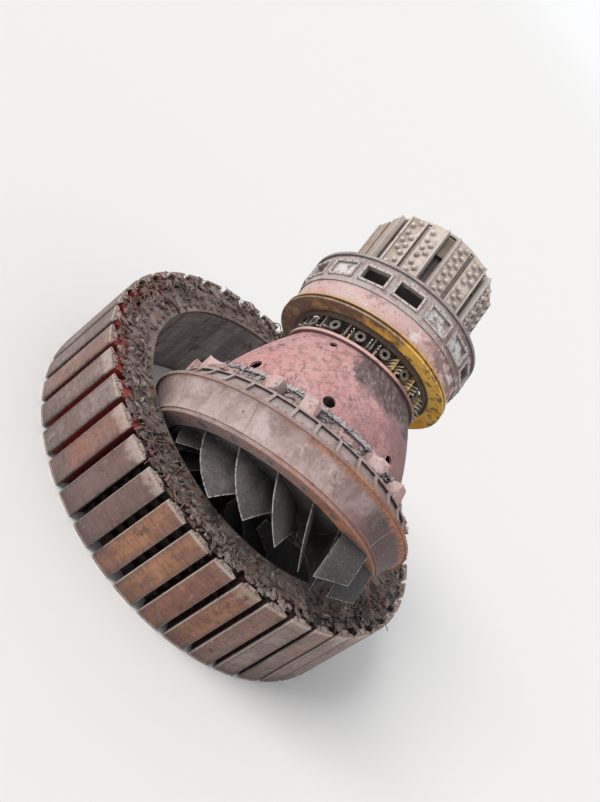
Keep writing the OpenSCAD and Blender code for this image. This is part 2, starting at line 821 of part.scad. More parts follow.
module hub_pads() {
    color("#a39382")
    turbine(z_hub + pad_end) around(pad_n) difference() {
        radial_block(hub_r - groove_d, hub_r + pad_t, pad_w, hub_h - 2 * pad_end);
        translate([0, 0, -eps]) cylinder(r = hub_r, h = hub_h);
        translate([0, 0, -eps])
            radial_block(hub_r + pad_t - groove_d, hub_r + pad_t + eps, groove_w, hub_h);
    }
}

// Bars along the sides of the pads stand proud in the slots between them
module pad_bars() {
    color("#b5a898")
    turbine(z_hub + pad_end) around(pad_n) for (side = [-1, 1])
        translate([0, side * (pad_w + pad_bar_w) / 2, 0])
            radial_block(hub_r + pad_t / 2, hub_r + pad_t + pad_bar_proud, pad_bar_w, hub_h - 2 * pad_end);
}

module hub_top_plate() {
    plate_r = hub_r + hub_plate_over;
    color("#9a8c7e")
    turbine(z_hub_top)
        drilled_washer(plate_r, shaft_bore_r, flange_t, top_bolt_n, top_bolt_circle_r, top_bolt_r);
}

rim_stack();
lower_clamp_plate();
upper_clamp_plate();
brake_track();
rim_keys();
pole_cores();
pole_shoes();
pole_coils();
pole_end_plates();
cover_band();
cover_lower_ring();
cover_flange();
pocket_wall();
cover_ribs();
pocket_covers();
pocket_ledge();
bearing_blocks();
vane_stems();
guide_vanes();
runner_crown();
runner_blades();
runner_band();
cone_foot_flange();
thrust_cone();
cone_hatches();
cone_top_flange();
bearing_tank();
pipe_stubs();
ring_brackets();
yellow_ring();
plain_ring();
window_ring();
window_frames();
window_covers();
window_top_flange();
shaft();
hub_core();
hub_pads();
pad_bars();
hub_top_plate();
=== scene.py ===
import json
import math
import random
import bmesh
import bpy
from mathutils import Matrix, Vector


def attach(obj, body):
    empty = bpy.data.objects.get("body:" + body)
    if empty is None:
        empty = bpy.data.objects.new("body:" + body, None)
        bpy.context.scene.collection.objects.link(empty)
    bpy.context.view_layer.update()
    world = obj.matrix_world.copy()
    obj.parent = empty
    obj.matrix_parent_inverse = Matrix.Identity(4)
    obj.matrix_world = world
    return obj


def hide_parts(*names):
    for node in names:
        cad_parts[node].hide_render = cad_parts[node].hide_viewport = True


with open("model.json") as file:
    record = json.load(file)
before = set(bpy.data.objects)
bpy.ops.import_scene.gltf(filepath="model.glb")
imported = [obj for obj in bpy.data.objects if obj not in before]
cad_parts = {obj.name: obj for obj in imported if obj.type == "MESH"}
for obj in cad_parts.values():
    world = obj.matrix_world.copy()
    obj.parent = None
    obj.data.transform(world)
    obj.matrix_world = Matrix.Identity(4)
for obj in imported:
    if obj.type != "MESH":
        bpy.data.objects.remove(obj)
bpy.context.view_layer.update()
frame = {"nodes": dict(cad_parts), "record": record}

nodes = frame["nodes"]
mounts = {m["name"]: m for m in frame["record"]["mounts"]}

# The rotor's rim is a stack of thin steel laminations between two heavy clamp plates.
# Its upper face is raw, brown-grey and oily, and its bore has dried out to a dull grey.
# Key bars sit in the bore, and a segmented brake track runs under the lower plate.
ring_h = 2.74
bore_r = 4.50
pole_n = 42


class Wire:
    """An output socket, with the sums that the finishes need written as Python."""

    def __init__(self, tree, socket=None):
        self.tree = tree
        self.socket = socket

    def node(self, kind, settings=None, inputs=None, output=0):
        made = self.tree.nodes.new(kind)
        for key, value in (settings or {}).items():
            setattr(made, key, value)
        for key, value in (inputs or {}).items():
            target = made.inputs[key]
            if isinstance(value, Wire):
                self.tree.links.new(value.socket, target)
            else:
                target.default_value = value
        return Wire(self.tree, made.outputs[output])

    def math(self, operation, first, second=0.0):
        return self.node("ShaderNodeMath", {"operation": operation}, {0: first, 1: second})

    def __add__(self, other):
        return self.math("ADD", self, other)

    __radd__ = __add__

    def __mul__(self, other):
        return self.math("MULTIPLY", self, other)

    __rmul__ = __mul__

    def __sub__(self, other):
        return self.math("SUBTRACT", self, other)

    def __rsub__(self, other):
        return self.math("SUBTRACT", other, self)

    def step(self, low, high):
        """0 under low, 1 over high, smooth between."""
        return self.node("ShaderNodeMapRange", {"interpolation_type": "SMOOTHSTEP"},
                         {"Value": self, "From Min": low, "From Max": high})

    def along(self, direction):
        """How far this place or normal goes in a direction."""
        return self.node("ShaderNodeVectorMath", {"operation": "DOT_PRODUCT"},
                         {0: self, 1: direction}, output=1)

    @property
    def x(self):
        return self.along((1, 0, 0))

    @property
    def y(self):
        return self.along((0, 1, 0))

    @property
    def z(self):
        return self.along((0, 0, 1))

    def mix(self, first, second):
        """first where this is 0 and second where it is 1, for colours."""
        def colour(value):
            return value if isinstance(value, Wire) else (*value, 1)
        return self.node("ShaderNodeMix", {"data_type": "RGBA"},
                         {0: self, 6: colour(first), 7: colour(second)}, output=2)


def noise(place, scale, detail=4.0, rough=0.55, stretch=None):
    """Cloudy noise, drawn finer along an axis the larger that axis's number in stretch is."""
    if stretch:
        place = place.node("ShaderNodeMapping", {}, {"Vector": place, "Scale": stretch})
    return place.node("ShaderNodeTexNoise", {},
                      {"Vector": place, "Scale": scale, "Detail": detail, "Roughness": rough})


# Which way the dust came down on the wreck, and the light with it
from_above = (-0.72, -0.11, 0.69)
dust_grey = (0.40, 0.335, 0.315)


def aged(name, main, second, rust, on="", rust_share=0.4, patch=0.7, grain=9.0, rough=0.75, metal=0.0,
         bump=0.25, dust=dust_grey, dust_share=0.4, edge=None, shade=None, corner_shade=0.78, edge_width=0.035):
    """Old paint or bare steel: two-colour patches, rust, dust, painted shade in corners and pale edges,
    which are wear on most pieces and a painted highlight on the runner, the vanes and the brackets.
    The nodes listed in on take it here, and new pieces when they are set down."""
    skin = bpy.data.materials.new(name)
    skin.use_nodes = True
    tree = skin.node_tree
    shader = tree.nodes["Principled BSDF"]
    wire = Wire(tree)
    place = wire.node("ShaderNodeTexCoord", output=3)
    normal = wire.node("ShaderNodeTexCoord", output=1)
    broad = noise(place, patch, 5.0, 0.6)
    fine = noise(place, grain, 6.0, 0.65)
    cloud = noise(place, patch * 2.7, 8.0, 0.7)
    specks = noise(place, grain * 2.6, 3.0, 0.6)
    colour = (broad * 0.6 + fine * 0.4).step(0.4, 0.6).mix(main, second)
    if shade:
        colour = shade(place, colour, fine)
    rusted = (cloud * 0.75 + fine * 0.25).step(0.62 - 0.2 * rust_share, 0.72 - 0.2 * rust_share)
    colour = rusted.mix(colour, rust)
    colour = (specks.step(0.58, 0.66) * 0.45).mix(colour, tuple(0.35 * c for c in rust))
    colour = ((1 - specks.step(0.32, 0.42)) * 0.25).mix(colour, dust)
    # Painted shade: corners and hollows found by occlusion darken to a dark copy of the main colour.
    corner = wire.node("ShaderNodeAmbientOcclusion", {"samples": 4}, {"Distance": 0.4}, output=1)
    colour = ((1 - corner.step(0.2, 0.9)) * corner_shade).mix(colour, tuple(0.16 * c for c in main))
    if edge:
        smooth = wire.node("ShaderNodeBevel", {"samples": 4}, {"Radius": edge_width})
        flat = wire.node("ShaderNodeNewGeometry", {}, {}, output=1)
        # Pale edges: wear on most pieces, and a painted highlight on the runner, the vanes and the brackets.
        worn = (1 - smooth.along(flat)).step(0.015, 0.12) * fine.step(0.35, 0.55)
        colour = worn.mix(colour, edge)
    facing = normal.along(from_above)
    settled = facing.step(0.1, 1.0) * (broad * 0.5 + fine * 0.5).step(0.35, 0.65) * dust_share
    colour = settled.mix(colour, dust)
    tree.links.new(colour.socket, shader.inputs["Base Color"])
    tree.links.new((fine * 0.25 + rusted * 0.15 + (rough - 0.2)).socket, shader.inputs["Roughness"])
    if metal:
        tree.links.new(((1 - rusted) * (1 - settled) * metal).socket, shader.inputs["Metallic"])
    height = fine * 0.6 + cloud * 0.8 + rusted * 0.25
    lumps = wire.node("ShaderNodeBump", {}, {"Strength": bump, "Distance": 0.03, "Height": height})
    tree.links.new(lumps.socket, shader.inputs["Normal"])
    for node in on.split():
        nodes[node].data.materials.clear()
        nodes[node].data.materials.append(skin)
    return skin


def ring_r_of(place):
    """Distance of a place from the ring's axis."""
    return place.math("SQRT", place.x * place.x + place.y * place.y)


def bore_shade(place, colour, fine):
    """The bore is a dry grey with lines between the laminations, and oily round its top."""
    runs = noise(place, 1.0, 5.0, 0.6, stretch=(2.4, 2.4, 0.4))
    lines = noise(place, 1.0, 2.0, 0.5, stretch=(0.6, 0.6, 30.0))
    dry = (runs * 0.7 + fine * 0.3).step(0.42, 0.6).mix((0.23, 0.215, 0.21), (0.40, 0.37, 0.355))
    dry = (lines.step(0.5, 0.62) * 0.35).mix(dry, (0.07, 0.06, 0.055))
    r = ring_r_of(place)
    oily = (1 - (r + runs * 0.4).step(bore_r + 0.22, bore_r + 0.45)) * 0.55
    return r.step(bore_r + 0.02, bore_r + 0.06).mix(dry, oily.mix(colour, (0.035, 0.030, 0.029)))


aged("rim_iron", (0.075, 0.060, 0.055), (0.13, 0.105, 0.095), (0.13, 0.075, 0.055), on="rim_stack rim_keys",
     rust_share=0.4, patch=0.9, grain=14.0, rough=0.8, bump=0.5, dust_share=0.3, shade=bore_shade)
aged("plate_iron", (0.09, 0.070, 0.061), (0.20, 0.160, 0.142), (0.19, 0.09, 0.058),
     on="upper_clamp_plate lower_clamp_plate", rust_share=0.65, patch=1.3, grain=11.0, rough=0.85, bump=0.9,
     dust_share=0.3)
aged("brake_steel", (0.22, 0.20, 0.18), (0.32, 0.29, 0.26), (0.25, 0.13, 0.08), on="brake_track", rough=0.55,
     metal=0.6)


def start(shape, **settings):
    """One new primitive, selected by itself."""
    bpy.ops.object.select_all(action="DESELECT")
    shape(**settings)
    bpy.ops.object.transform_apply(location=True, rotation=True, scale=True)
    return bpy.context.object


def edit():
    """Into edit mode."""
    bpy.ops.object.mode_set(mode="EDIT")


def done():
    """Out of edit mode, with the piece's shape finished."""
    bpy.ops.object.mode_set(mode="OBJECT")


def pick(test, kind="faces"):
    """In edit mode, selects the faces or edges that pass a test."""
    bpy.ops.mesh.select_mode(type="FACE" if kind == "faces" else "EDGE")
    bpy.ops.mesh.select_all(action="DESELECT")
    mesh = bmesh.from_edit_mesh(bpy.context.object.data)
    for part in getattr(mesh, kind):
        if test(part):
            part.select_set(True)
    bmesh.update_edit_mesh(bpy.context.object.data)


def draw_up(steps):
    """Draws the picked face up in steps of a height and a narrowing."""
    for rise, narrow in steps:
        bpy.ops.mesh.extrude_region_move(TRANSFORM_OT_translate={"value": (0, 0, rise)})
        bpy.ops.transform.resize(value=(narrow, narrow, 1), center_override=(0, 0, 0))


def turned(sides, radius, height, steps):
    """A short bar that stands on its foot, its top face drawn up in steps."""
    bar = start(bpy.ops.mesh.primitive_cylinder_add, vertices=sides, radius=radius, depth=height,
                location=(0, 0, height / 2))
    edit()
    pick(lambda face: face.normal.z > 0.9)
    draw_up(steps)
    done()
    return bar


def hex_nut(radius, height, stud):
    """A hexagon nut with a chamfered crown on the end of its stud."""
    return turned(6, radius, height * 0.8,
                  [(height * 0.2, 0.86), (0, 0.62), (stud, 1.0), (stud * 0.2, 0.75)])


def set_down(models, places, name, material):
    """Copies of the models at their places, each with its own mesh, joined as one piece."""
    models = models if isinstance(models, list) else [models]
    bpy.ops.object.select_all(action="DESELECT")
    for i, place in enumerate(places):
        copy = models[i % len(models)].copy()
        copy.data = models[i % len(models)].data.copy()
        copy.data.transform(place)
        bpy.context.collection.objects.link(copy)
        copy.select_set(True)
        bpy.context.view_layer.objects.active = copy
    bpy.ops.object.join()
    piece = bpy.context.object
    piece.name = name
    piece.data.name = name
    piece.data.materials.clear()
    piece.data.materials.append(material)
    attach(piece, "root")
    for model in models:
        bpy.data.objects.remove(model)
    return piece


def ring_place(angle, r, z, aside=0.0):
    """Round the ring's own axis: out along the radius, angle in turns, and then to one side."""
    return Matrix.Rotation(2 * math.pi * angle, 4, "Z") @ Matrix.Translation((r, aside, z))


def spun(angle):
    """Turned round its own upright."""
    return Matrix.Rotation(angle, 4, "Z")


def strewn(place, least=1.0, most=None):
    """Turned any way on its place, and of any size between two where they are given."""
    place = place @ spun(chance.uniform(0, 6.28))
    return place @ Matrix.Scale(chance.uniform(least, most), 4) if most else place


# Tie studs hold the laminations together between the clamp plates, with a nut on each end.
# Two circles of them show on the upper plate, and some of the nuts were lost.
chance = random.Random(7)
stud_n = 84
stud_circles = (4.68, 5.06)
lost_studs = 0.12
stud_iron = aged("stud_iron", (0.13, 0.10, 0.085), (0.22, 0.17, 0.14), (0.20, 0.10, 0.06), grain=20.0,
                 rough=0.7, dust_share=0.5)
stud_places = [ring_place((i + 0.5 * k) / stud_n, r, ring_h) @ spun(chance.random())
               for k, r in enumerate(stud_circles) for i in range(stud_n)
               if chance.random() > lost_studs]
set_down(hex_nut(0.062, 0.06, 0.035), stud_places, "tie_stud_nuts", stud_iron)

# The fans, leads and air guides are torn off the ring's upper end. What is left is a tangle
# of bent copper leads and ribbons, brown with rust and mud, held by their broken clamps.
lead_n = 300
strip_n = 110


def bent_rod(reach, thick, ribbon=0.0):
    """A bent rod or ribbon, as a curve through a few points that is made a mesh."""
    bpy.ops.object.select_all(action="DESELECT")
    bpy.ops.curve.primitive_bezier_curve_add()
    rod = bpy.context.object
    rod.data.resolution_u = 3
    rod.data.bevel_depth = thick
    rod.data.extrude = ribbon
    rod.data.bevel_resolution = 0
    rod.data.use_fill_caps = True
    points = rod.data.splines[0].bezier_points
    points.add(2)
    for i, point in enumerate(points):
        s = i / (len(points) - 1)
        height = abs(chance.gauss(0, 0.16)) * reach * math.sin(math.pi * s) ** 0.5
        sideways = chance.uniform(-0.22, 0.22) * reach
        point.co = (reach * (s - 0.5), sideways, thick + 0.4 * ribbon + height)
        point.handle_left_type = point.handle_right_type = "AUTO"
        point.tilt = chance.uniform(-1.2, 1.2)
    bpy.ops.object.convert(target="MESH")
    return rod


lead_iron = aged("lead_iron", (0.060, 0.044, 0.037), (0.15, 0.115, 0.10), (0.20, 0.085, 0.048),
                 rust_share=0.7, patch=1.6, grain=16.0, rough=0.8, dust_share=0.3, bump=0.5)
lead_bright = aged("lead_bright", (0.26, 0.205, 0.175), (0.42, 0.35, 0.31), (0.30, 0.12, 0.06),
                   rust_share=0.65, patch=1.9, grain=14.0, rough=0.65, metal=0.1, dust_share=0.3, bump=0.4)
leads = [bent_rod(0.55, 0.014), bent_rod(0.8, 0.018), bent_rod(0.4, 0.004, 0.03), bent_rod(0.95, 0.011),
         bent_rod(0.6, 0.005, 0.022), bent_rod(0.45, 0.02), bent_rod(0.35, 0.006, 0.04)]
lead_places = []
for i in range(lead_n):
    r = chance.choice((4.9, 5.2, 5.4, 5.5)) + chance.uniform(-0.18, 0.12)
    lead_places.append(ring_place(chance.random(), r, ring_h)
                       @ spun(chance.uniform(-0.6, 0.6) + (math.pi / 2 if chance.random() > 0.45 else 0)))
set_down(leads, lead_places, "torn_leads", lead_iron)
strip_places = [strewn(ring_place(chance.random(), 5.5 - abs(chance.gauss(0, 0.3)), ring_h))
                for i in range(strip_n)]
strips = [bent_rod(0.5, 0.012), bent_rod(0.34, 0.005, 0.03), bent_rod(0.7, 0.009),
          bent_rod(0.3, 0.006, 0.045)]
set_down(strips, strip_places, "torn_strips", lead_bright)

# Lumps of mud and broken insulation have dried on between the leads. They lie thick by the
# outer edge and thin out towards the bore.
mud_n = 620


def lump(size, seed, flat=0.5):
    """A rough lump with a flat foot."""
    clod = start(bpy.ops.mesh.primitive_ico_sphere_add, subdivisions=1, radius=size)
    edit()
    bpy.ops.mesh.select_all(action="SELECT")
    bpy.ops.mesh.subdivide(number_cuts=1)
    bpy.ops.transform.vertex_random(offset=size * 0.4, seed=seed)
    bpy.ops.transform.resize(value=(1.3, 0.9, flat), center_override=(0, 0, 0))
    bpy.ops.mesh.bisect(plane_co=(0, 0, 0), plane_no=(0, 0, 1), clear_inner=True, use_fill=True)
    bpy.ops.mesh.select_all(action="SELECT")
    bpy.ops.mesh.decimate(ratio=0.6)
    done()
    return clod


mud = aged("mud", (0.10, 0.080, 0.070), (0.29, 0.238, 0.212), (0.18, 0.085, 0.052), rust_share=0.6,
           patch=2.0, grain=22.0, rough=0.95, dust_share=0.35, bump=0.9)
mud_places = []
for i in range(mud_n):
    r = 5.62 - abs(chance.gauss(0, 0.42))
    if r > bore_r + 0.1:
        mud_places.append(strewn(ring_place(chance.random(), r, ring_h - 0.002), 0.5, 1.7))
set_down([lump(0.07, 1), lump(0.1, 2, 0.35), lump(0.055, 3, 0.8), lump(0.085, 4)], mud_places,
         "dried_mud", mud)

# The poles are laminated cores with long curved shoes, each wound with a painted copper coil.
# The shoes go round the ring from grey-brown through purple-brown to orange rust, each with
# a tone of its own. Their upper ends are scraped pale, with a painted highlight on the upper side edges.
pole_r = 5.90


def turn_of(place):
    """Place round the ring, counted in poles: the middle of each is a whole number."""
    turn = place.math("ARCTAN2", place.y, place.x) * (pole_n / (2 * math.pi))
    return turn.math("FLOORED_MODULO", turn + (pole_n + 0.5), float(pole_n)) - 0.5


def pole_shade(place, colour, fine):
    """Each pole has its own tone, with combed laminations, streaks and a scraped upper end."""
    turn = turn_of(place)
    whole = turn.math("ROUND", turn)
    across = turn - whole
    tone = turn.node("ShaderNodeTexWhiteNoise", {"noise_dimensions": "1D"}, {"W": whole + 3.7})
    other = turn.node("ShaderNodeTexWhiteNoise", {"noise_dimensions": "1D"}, {"W": whole + 61.3})
    height = place.z
    streaks = noise(place, 1.0, 5.0, 0.6, stretch=(2.6, 2.6, 0.4))
    cloud = noise(place, 0.9, 7.0, 0.68)
    purple = (whole + streaks * 2.4).step(26.2, 27.6).mix(colour, (0.165, 0.088, 0.080))
    orange = (cloud * 0.5 + streaks * 0.3 + fine * 0.2).step(0.42, 0.60)
    orange = orange.mix((0.23, 0.092, 0.056), (0.49, 0.225, 0.105))
    bright = (whole + cloud * 1.4).step(28.9, 29.7) * (1 - (whole + cloud * 2.0).step(33.0, 34.2))
    colour = bright.mix(purple, orange)
    dry = (cloud * 0.6 + fine * 0.4).step(0.42, 0.6).mix((0.22, 0.15, 0.125), (0.34, 0.265, 0.235))
    colour = (whole + streaks * 2.0).step(33.0, 34.5).mix(colour, dry)
    flank = across.step(0.12, 0.36) * (streaks + tone * 0.2).step(0.4, 0.62)
    colour = (flank * 0.5).mix(colour, (0.13, 0.075, 0.062))
    colour = ((1 - tone) * 0.38).mix(colour, (0.11, 0.070, 0.062))
    colour = ((other * cloud).step(0.28, 0.5) * 0.6).mix(colour, (0.30, 0.115, 0.062))
    combed = noise(place, 1.0, 3.0, 0.6, stretch=(1.4, 1.4, 15.0))
    finer = noise(place, 1.0, 2.0, 0.6, stretch=(2.0, 2.0, 46.0))
    colour = ((combed * 0.6 + finer * 0.4).step(0.5, 0.62) * 0.5).mix(colour, (0.075, 0.045, 0.038))
    off_middle = across.math("ABSOLUTE", across)
    charred = (off_middle + cloud * 0.3).step(0.38, 0.52) + (1 - (height + streaks * 1.6).step(0.9, 1.6))
    colour = (charred * (0.35 + tone * 0.35)).mix(colour, (0.075, 0.047, 0.041))
    pale = (noise(place, 1.7, 6.0, 0.7, stretch=(1, 1, 0.5)) * 0.8 + fine * 0.2).step(0.56, 0.68)
    colour = (pale * 0.45).mix(colour, (0.46, 0.36, 0.32))
    scraped = (height + fine * 0.35 + streaks * 0.9).step(2.95, 3.25) * tone.step(0.2, 0.7)
    colour = (scraped * 0.6).mix(colour, (0.54, 0.43, 0.37))
    # Painted highlight: a thin pale line along one side edge of each shoe.
    line = (1 - (across + fine * 0.02).step(-0.368, -0.352)) * streaks.step(0.34, 0.5)
    return (line * 0.85).mix(colour, (0.62, 0.50, 0.43))


aged("shoe_paint", (0.185, 0.128, 0.112), (0.29, 0.222, 0.205), (0.12, 0.06, 0.048), on="pole_shoes",
     rust_share=0.35, patch=0.6, grain=7.0, rough=0.75, dust_share=0.3, edge=(0.50, 0.39, 0.33),
     shade=pole_shade, corner_shade=0.85, edge_width=0.02)
aged("end_steel", (0.27, 0.20, 0.17), (0.42, 0.34, 0.29), (0.18, 0.085, 0.055), on="pole_end_plates",
     rough=0.65, edge=(0.60, 0.50, 0.43))


def coil_shade(place, colour, fine):
    """The crimson insulation still shows between some of the poles and is charred elsewhere."""
    whole = turn_of(place)
    turns = noise(place, 1.0, 2.0, 0.5, stretch=(0.5, 0.5, 40.0))
    colour = (turns.step(0.45, 0.6) * 0.4).mix(colour, (0.12, 0.01, 0.008))
    left = (whole + noise(place, 1.2) * 1.2).step(20.0, 21.4) * (1 - (whole + fine * 0.6).step(26.4, 27.0))
    return left.mix((0.012, 0.009, 0.0085), colour)


aged("coil_paint", (0.43, 0.036, 0.024), (0.29, 0.036, 0.027), (0.09, 0.03, 0.025), on="pole_coils",
     rough=0.6, dust_share=0.06, shade=coil_shade, corner_shade=0.25)
aged("core_iron", (0.05, 0.035, 0.03), (0.09, 0.06, 0.05), (0.15, 0.07, 0.04), on="pole_cores", rough=0.8)

# Copper damper bars run through the shoes and stand out of the end plates, where a bolted
# segment joins them. Each end has seven bars and four bolts.
bar_n = 7
bar_r = pole_r - 0.04
bolt_circles = (5.74, 5.80)
damper_copper = aged("damper_copper", (0.24, 0.12, 0.075), (0.36, 0.22, 0.15), (0.15, 0.09, 0.06),
                     grain=20.0, rough=0.55, metal=0.4, dust_share=0.3)
bar_places = []
bolt_places = []
for i in range(pole_n):
    for k in range(bar_n):
        aside = (k / (bar_n - 1) - 0.5) * 0.56
        bar_places.append(ring_place(i / pole_n, bar_r, ring_h - 0.005, aside))
    for aside in (-0.14, 0.14):
        for r in bolt_circles:
            bolt_places.append(ring_place(i / pole_n, r, ring_h, aside))
set_down(turned(8, 0.017, 0.02, [(0.006, 0.8)]), bar_places, "damper_bar_ends", damper_copper)
set_down(hex_nut(0.026, 0.022, 0.012), bolt_places, "end_plate_bolts", stud_iron)

# Blocks of insulation brace the coils against each other, five up each gap.
# They show as a broken row of dark red spots where the insulation is still red.
brace_n = 5
brace_r = 5.46
brace_red = aged("brace_red", (0.16, 0.03, 0.022), (0.22, 0.055, 0.04), (0.03, 0.018, 0.015), rough=0.9,
                 dust=(0.05, 0.04, 0.035), dust_share=0.0, shade=coil_shade)
brace = start(bpy.ops.mesh.primitive_cube_add, size=1, scale=(0.20, 0.20, 0.12))
edit()
pick(lambda face: face.normal.x > 0.9)
bpy.ops.transform.resize(value=(1, 1.24, 1), center_override=(0, 0, 0))
pick(lambda edge: abs(edge.verts[0].co.x - edge.verts[1].co.x) > 0.1, "edges")
bpy.ops.mesh.bevel(offset=0.02, segments=2, affect="EDGES")
done()
brace_places = [ring_place((i + 0.5) / pole_n, brace_r, 0.55 + 1.65 * k / (brace_n - 1))
                for i in range(pole_n) for k in range(brace_n)]
set_down(brace, brace_places, "coil_braces", brace_red)

# A flat copper lead joins each coil to the next, bent up over the gap between them. Some of
# the leads are lost, and the rest are black with soot.
lead_r = 5.53
lead = start(bpy.ops.mesh.primitive_cube_add, size=1, scale=(0.16, 0.40, 0.05), location=(0, 0, 0.025))
edit()
bpy.ops.mesh.select_all(action="SELECT")
bpy.ops.mesh.subdivide(number_cuts=4)
pick(lambda face: abs(face.calc_center_median().y) < 0.09)
bpy.ops.transform.translate(value=(0, 0, 0.07))
pick(lambda edge: abs(edge.verts[0].co.y - edge.verts[1].co.y) < 0.001 and len(edge.link_faces) == 2
     and edge.calc_face_angle(0) > 1.0, "edges")
bpy.ops.mesh.bevel(offset=0.008, segments=1, affect="EDGES")
done()
lead_copper = aged("lead_copper", (0.13, 0.068, 0.05), (0.24, 0.16, 0.125), (0.10, 0.055, 0.04), grain=16.0,
                   rough=0.65, metal=0.15, dust_share=0.4)
gap_places = [ring_place((i + 0.5) / pole_n, lead_r, ring_h - 0.16) for i in range(pole_n) if i % 7 != 3]
set_down(lead, gap_places, "coil_leads", lead_copper)

# Torn ribbons of the red coil insulation hang over the outer edge, most of them on the side
# where the coils have kept their colour.
red_n = 110
scrap_red = aged("scrap_red", (0.22, 0.040, 0.028), (0.40, 0.125, 0.066), (0.13, 0.055, 0.038),
                 rust_share=0.65, patch=3.0, grain=18.0, rough=0.75, dust_share=0.25, bump=0.4)
red_places = []
for i in range(red_n):
    at = chance.gauss(0.48, 0.07) if chance.random() > 0.25 else chance.random()
    place = ring_place(at, chance.uniform(5.38, 5.72), ring_h + chance.uniform(0, 0.03))
    red_places.append(strewn(place, 0.5, 1.2))
set_down([bent_rod(0.28, 0.004, 0.02), bent_rod(0.2, 0.005, 0.03), lump(0.04, 12), bent_rod(0.34, 0.008)],
         red_places, "torn_insulation", scrap_red)

# The turbine's own frame: its axis leans in the ring, and its zero is the cover's lower edge.
# The runner hangs inside the cover: a crown, curved blades and a seal band, of dull wet steel
# with a painted highlight along every edge. Guide vanes with the same highlight hang round it under the
# cover.
hub_level = 9.02
hub_end = Vector(mounts["hub_bolts"]["pos_m"])
hub_axis = Vector(mounts["hub_bolts"]["axis"]).normalized()
foot = hub_end - hub_level * hub_axis
aside_axis = Vector((0, hub_axis.z, -hub_axis.y))
turbine = Matrix((Vector((1, 0, 0)), aside_axis, hub_axis)).transposed().to_4x4()
turbine = Matrix.Translation(foot) @ turbine


def turbine_place(angle, r, level, aside=0.0):
    """Round the turbine's axis: out along the radius, angle in turns, and then to one side."""
    return turbine @ ring_place(angle, r, level, aside)


def level_of(place):
    """Height of a place over the cover's lower edge, along the turbine's axis."""
    return place.along(tuple(hub_axis)) - foot.dot(hub_axis)


def turbine_r_of(place):
    """Distance of a place from the turbine's axis."""
    y = place.along(tuple(aside_axis)) - foot.dot(aside_axis)
    return place.math("SQRT", place.x * place.x + y * y)


def wet_shade(place, colour, fine):
    """Water lines and grey silt over the steel, and painted shade darkening it towards +X."""
    lines = noise(place, 1.0, 5.0, 0.6, stretch=(3.0, 1.0, 1.0))
    colour = (lines.step(0.5, 0.62) * 0.5).mix(colour, (0.15, 0.135, 0.128))
    colour = (noise(place, 1.1, 6.0, 0.65).step(0.5, 0.66) * 0.5).mix(colour, (0.035, 0.032, 0.031))
    # Painted shade: the steel darkens towards +X.
    return ((place.x + fine).step(0.6, 1.8) * 0.75).mix(colour, (0.022, 0.021, 0.021))


# The pale edge colour of the runner and the guide vanes is a painted highlight.
aged("runner_steel", (0.062, 0.057, 0.056), (0.115, 0.105, 0.10), (0.10, 0.068, 0.055),
     on="runner_crown runner_blades runner_band", rough=0.75, metal=0.1, dust_share=0.12,
     edge=(0.55, 0.49, 0.46), shade=wet_shade)
aged("vane_steel", (0.048, 0.045, 0.044), (0.090, 0.084, 0.081), (0.10, 0.065, 0.052), on="guide_vanes",
     rough=0.75, metal=0.1, edge=(0.50, 0.44, 0.40), dust_share=0.06, shade=wet_shade)
aged("stem_steel", (0.17, 0.15, 0.14), (0.27, 0.245, 0.23), (0.25, 0.14, 0.09), on="vane_stems shaft",
     rough=0.55, metal=0.4)

# The turbine cover is a broad painted band between two flanges, taupe pink under dust.
# Its edges have rusted to orange, and brown streaks run over the paint round small holes.
cover_r = 3.52
flange_level = 0.93


def cover_shade(place, colour, fine):
    """Streaks across the band, painted shade in dark purple-brown towards +X, and rust along both edges."""
    x = place.x
    level = level_of(place)
    streaks = noise(place, 1.0, 5.0, 0.65, stretch=(3.2, 1.2, 1.2))
    blots = noise(place, 1.5, 7.0, 0.7)
    colour = (streaks.step(0.47, 0.62) * 0.6).mix(colour, (0.26, 0.160, 0.142))
    colour = (blots.step(0.53, 0.60) * 0.6).mix(colour, (0.55, 0.46, 0.435))
    smears = noise(place, 0.9, 6.0, 0.68).step(0.50, 0.60)
    colour = (smears * 0.6).mix(colour, (0.22, 0.145, 0.132))
    low = (1 - (level + streaks * 0.3).step(0.3, 0.75)) * (x + blots * 2.0).step(-0.2, 2.2)
    colour = (low * 0.75).mix(colour, (0.25, 0.11, 0.075))
    # Painted shade: the band darkens to purple-brown towards +X.
    colour = ((x + streaks * 2.4).step(0.9, 3.0) * 0.95).mix(colour, (0.080, 0.047, 0.046))
    holes = place.node("ShaderNodeTexVoronoi", {}, {"Vector": place, "Scale": 1.6})
    colour = ((1 - holes.step(0.055, 0.075)) * 0.85).mix(colour, (0.06, 0.045, 0.042))
    lip = (level + fine * 0.2 + streaks * 0.35).step(0.30, 0.42)
    rusty_lip = (x + blots * 2.4).step(-1.2, 0.4).mix((0.17, 0.105, 0.098), (0.32, 0.13, 0.08))
    colour = ((1 - lip) * 0.85).mix(colour, rusty_lip)
    top = (level + fine * 0.12 + blots * 0.2).step(0.83, 1.0) * (x + streaks * 3.0).step(-0.6, 0.8)
    flakes = noise(place, 6.0, 7.0, 0.7).step(0.42, 0.56).mix((0.20, 0.095, 0.066), (0.46, 0.19, 0.085))
    return (top * 0.95).mix(colour, flakes)


aged("cover_paint", (0.36, 0.252, 0.230), (0.48, 0.375, 0.352), (0.24, 0.135, 0.112), on="cover_band",
     rust_share=0.25, patch=0.5, grain=5.0, rough=0.75, dust_share=0.45, edge=(0.46, 0.22, 0.125), bump=0.2,
     shade=cover_shade)


def flange_shade(place, colour, fine):
    """The flange is grey-pink on the -X side and rust-brown from the middle on."""
    return (place.x + fine * 2.4).step(-0.2, 1.4).mix((0.26, 0.185, 0.172), colour)


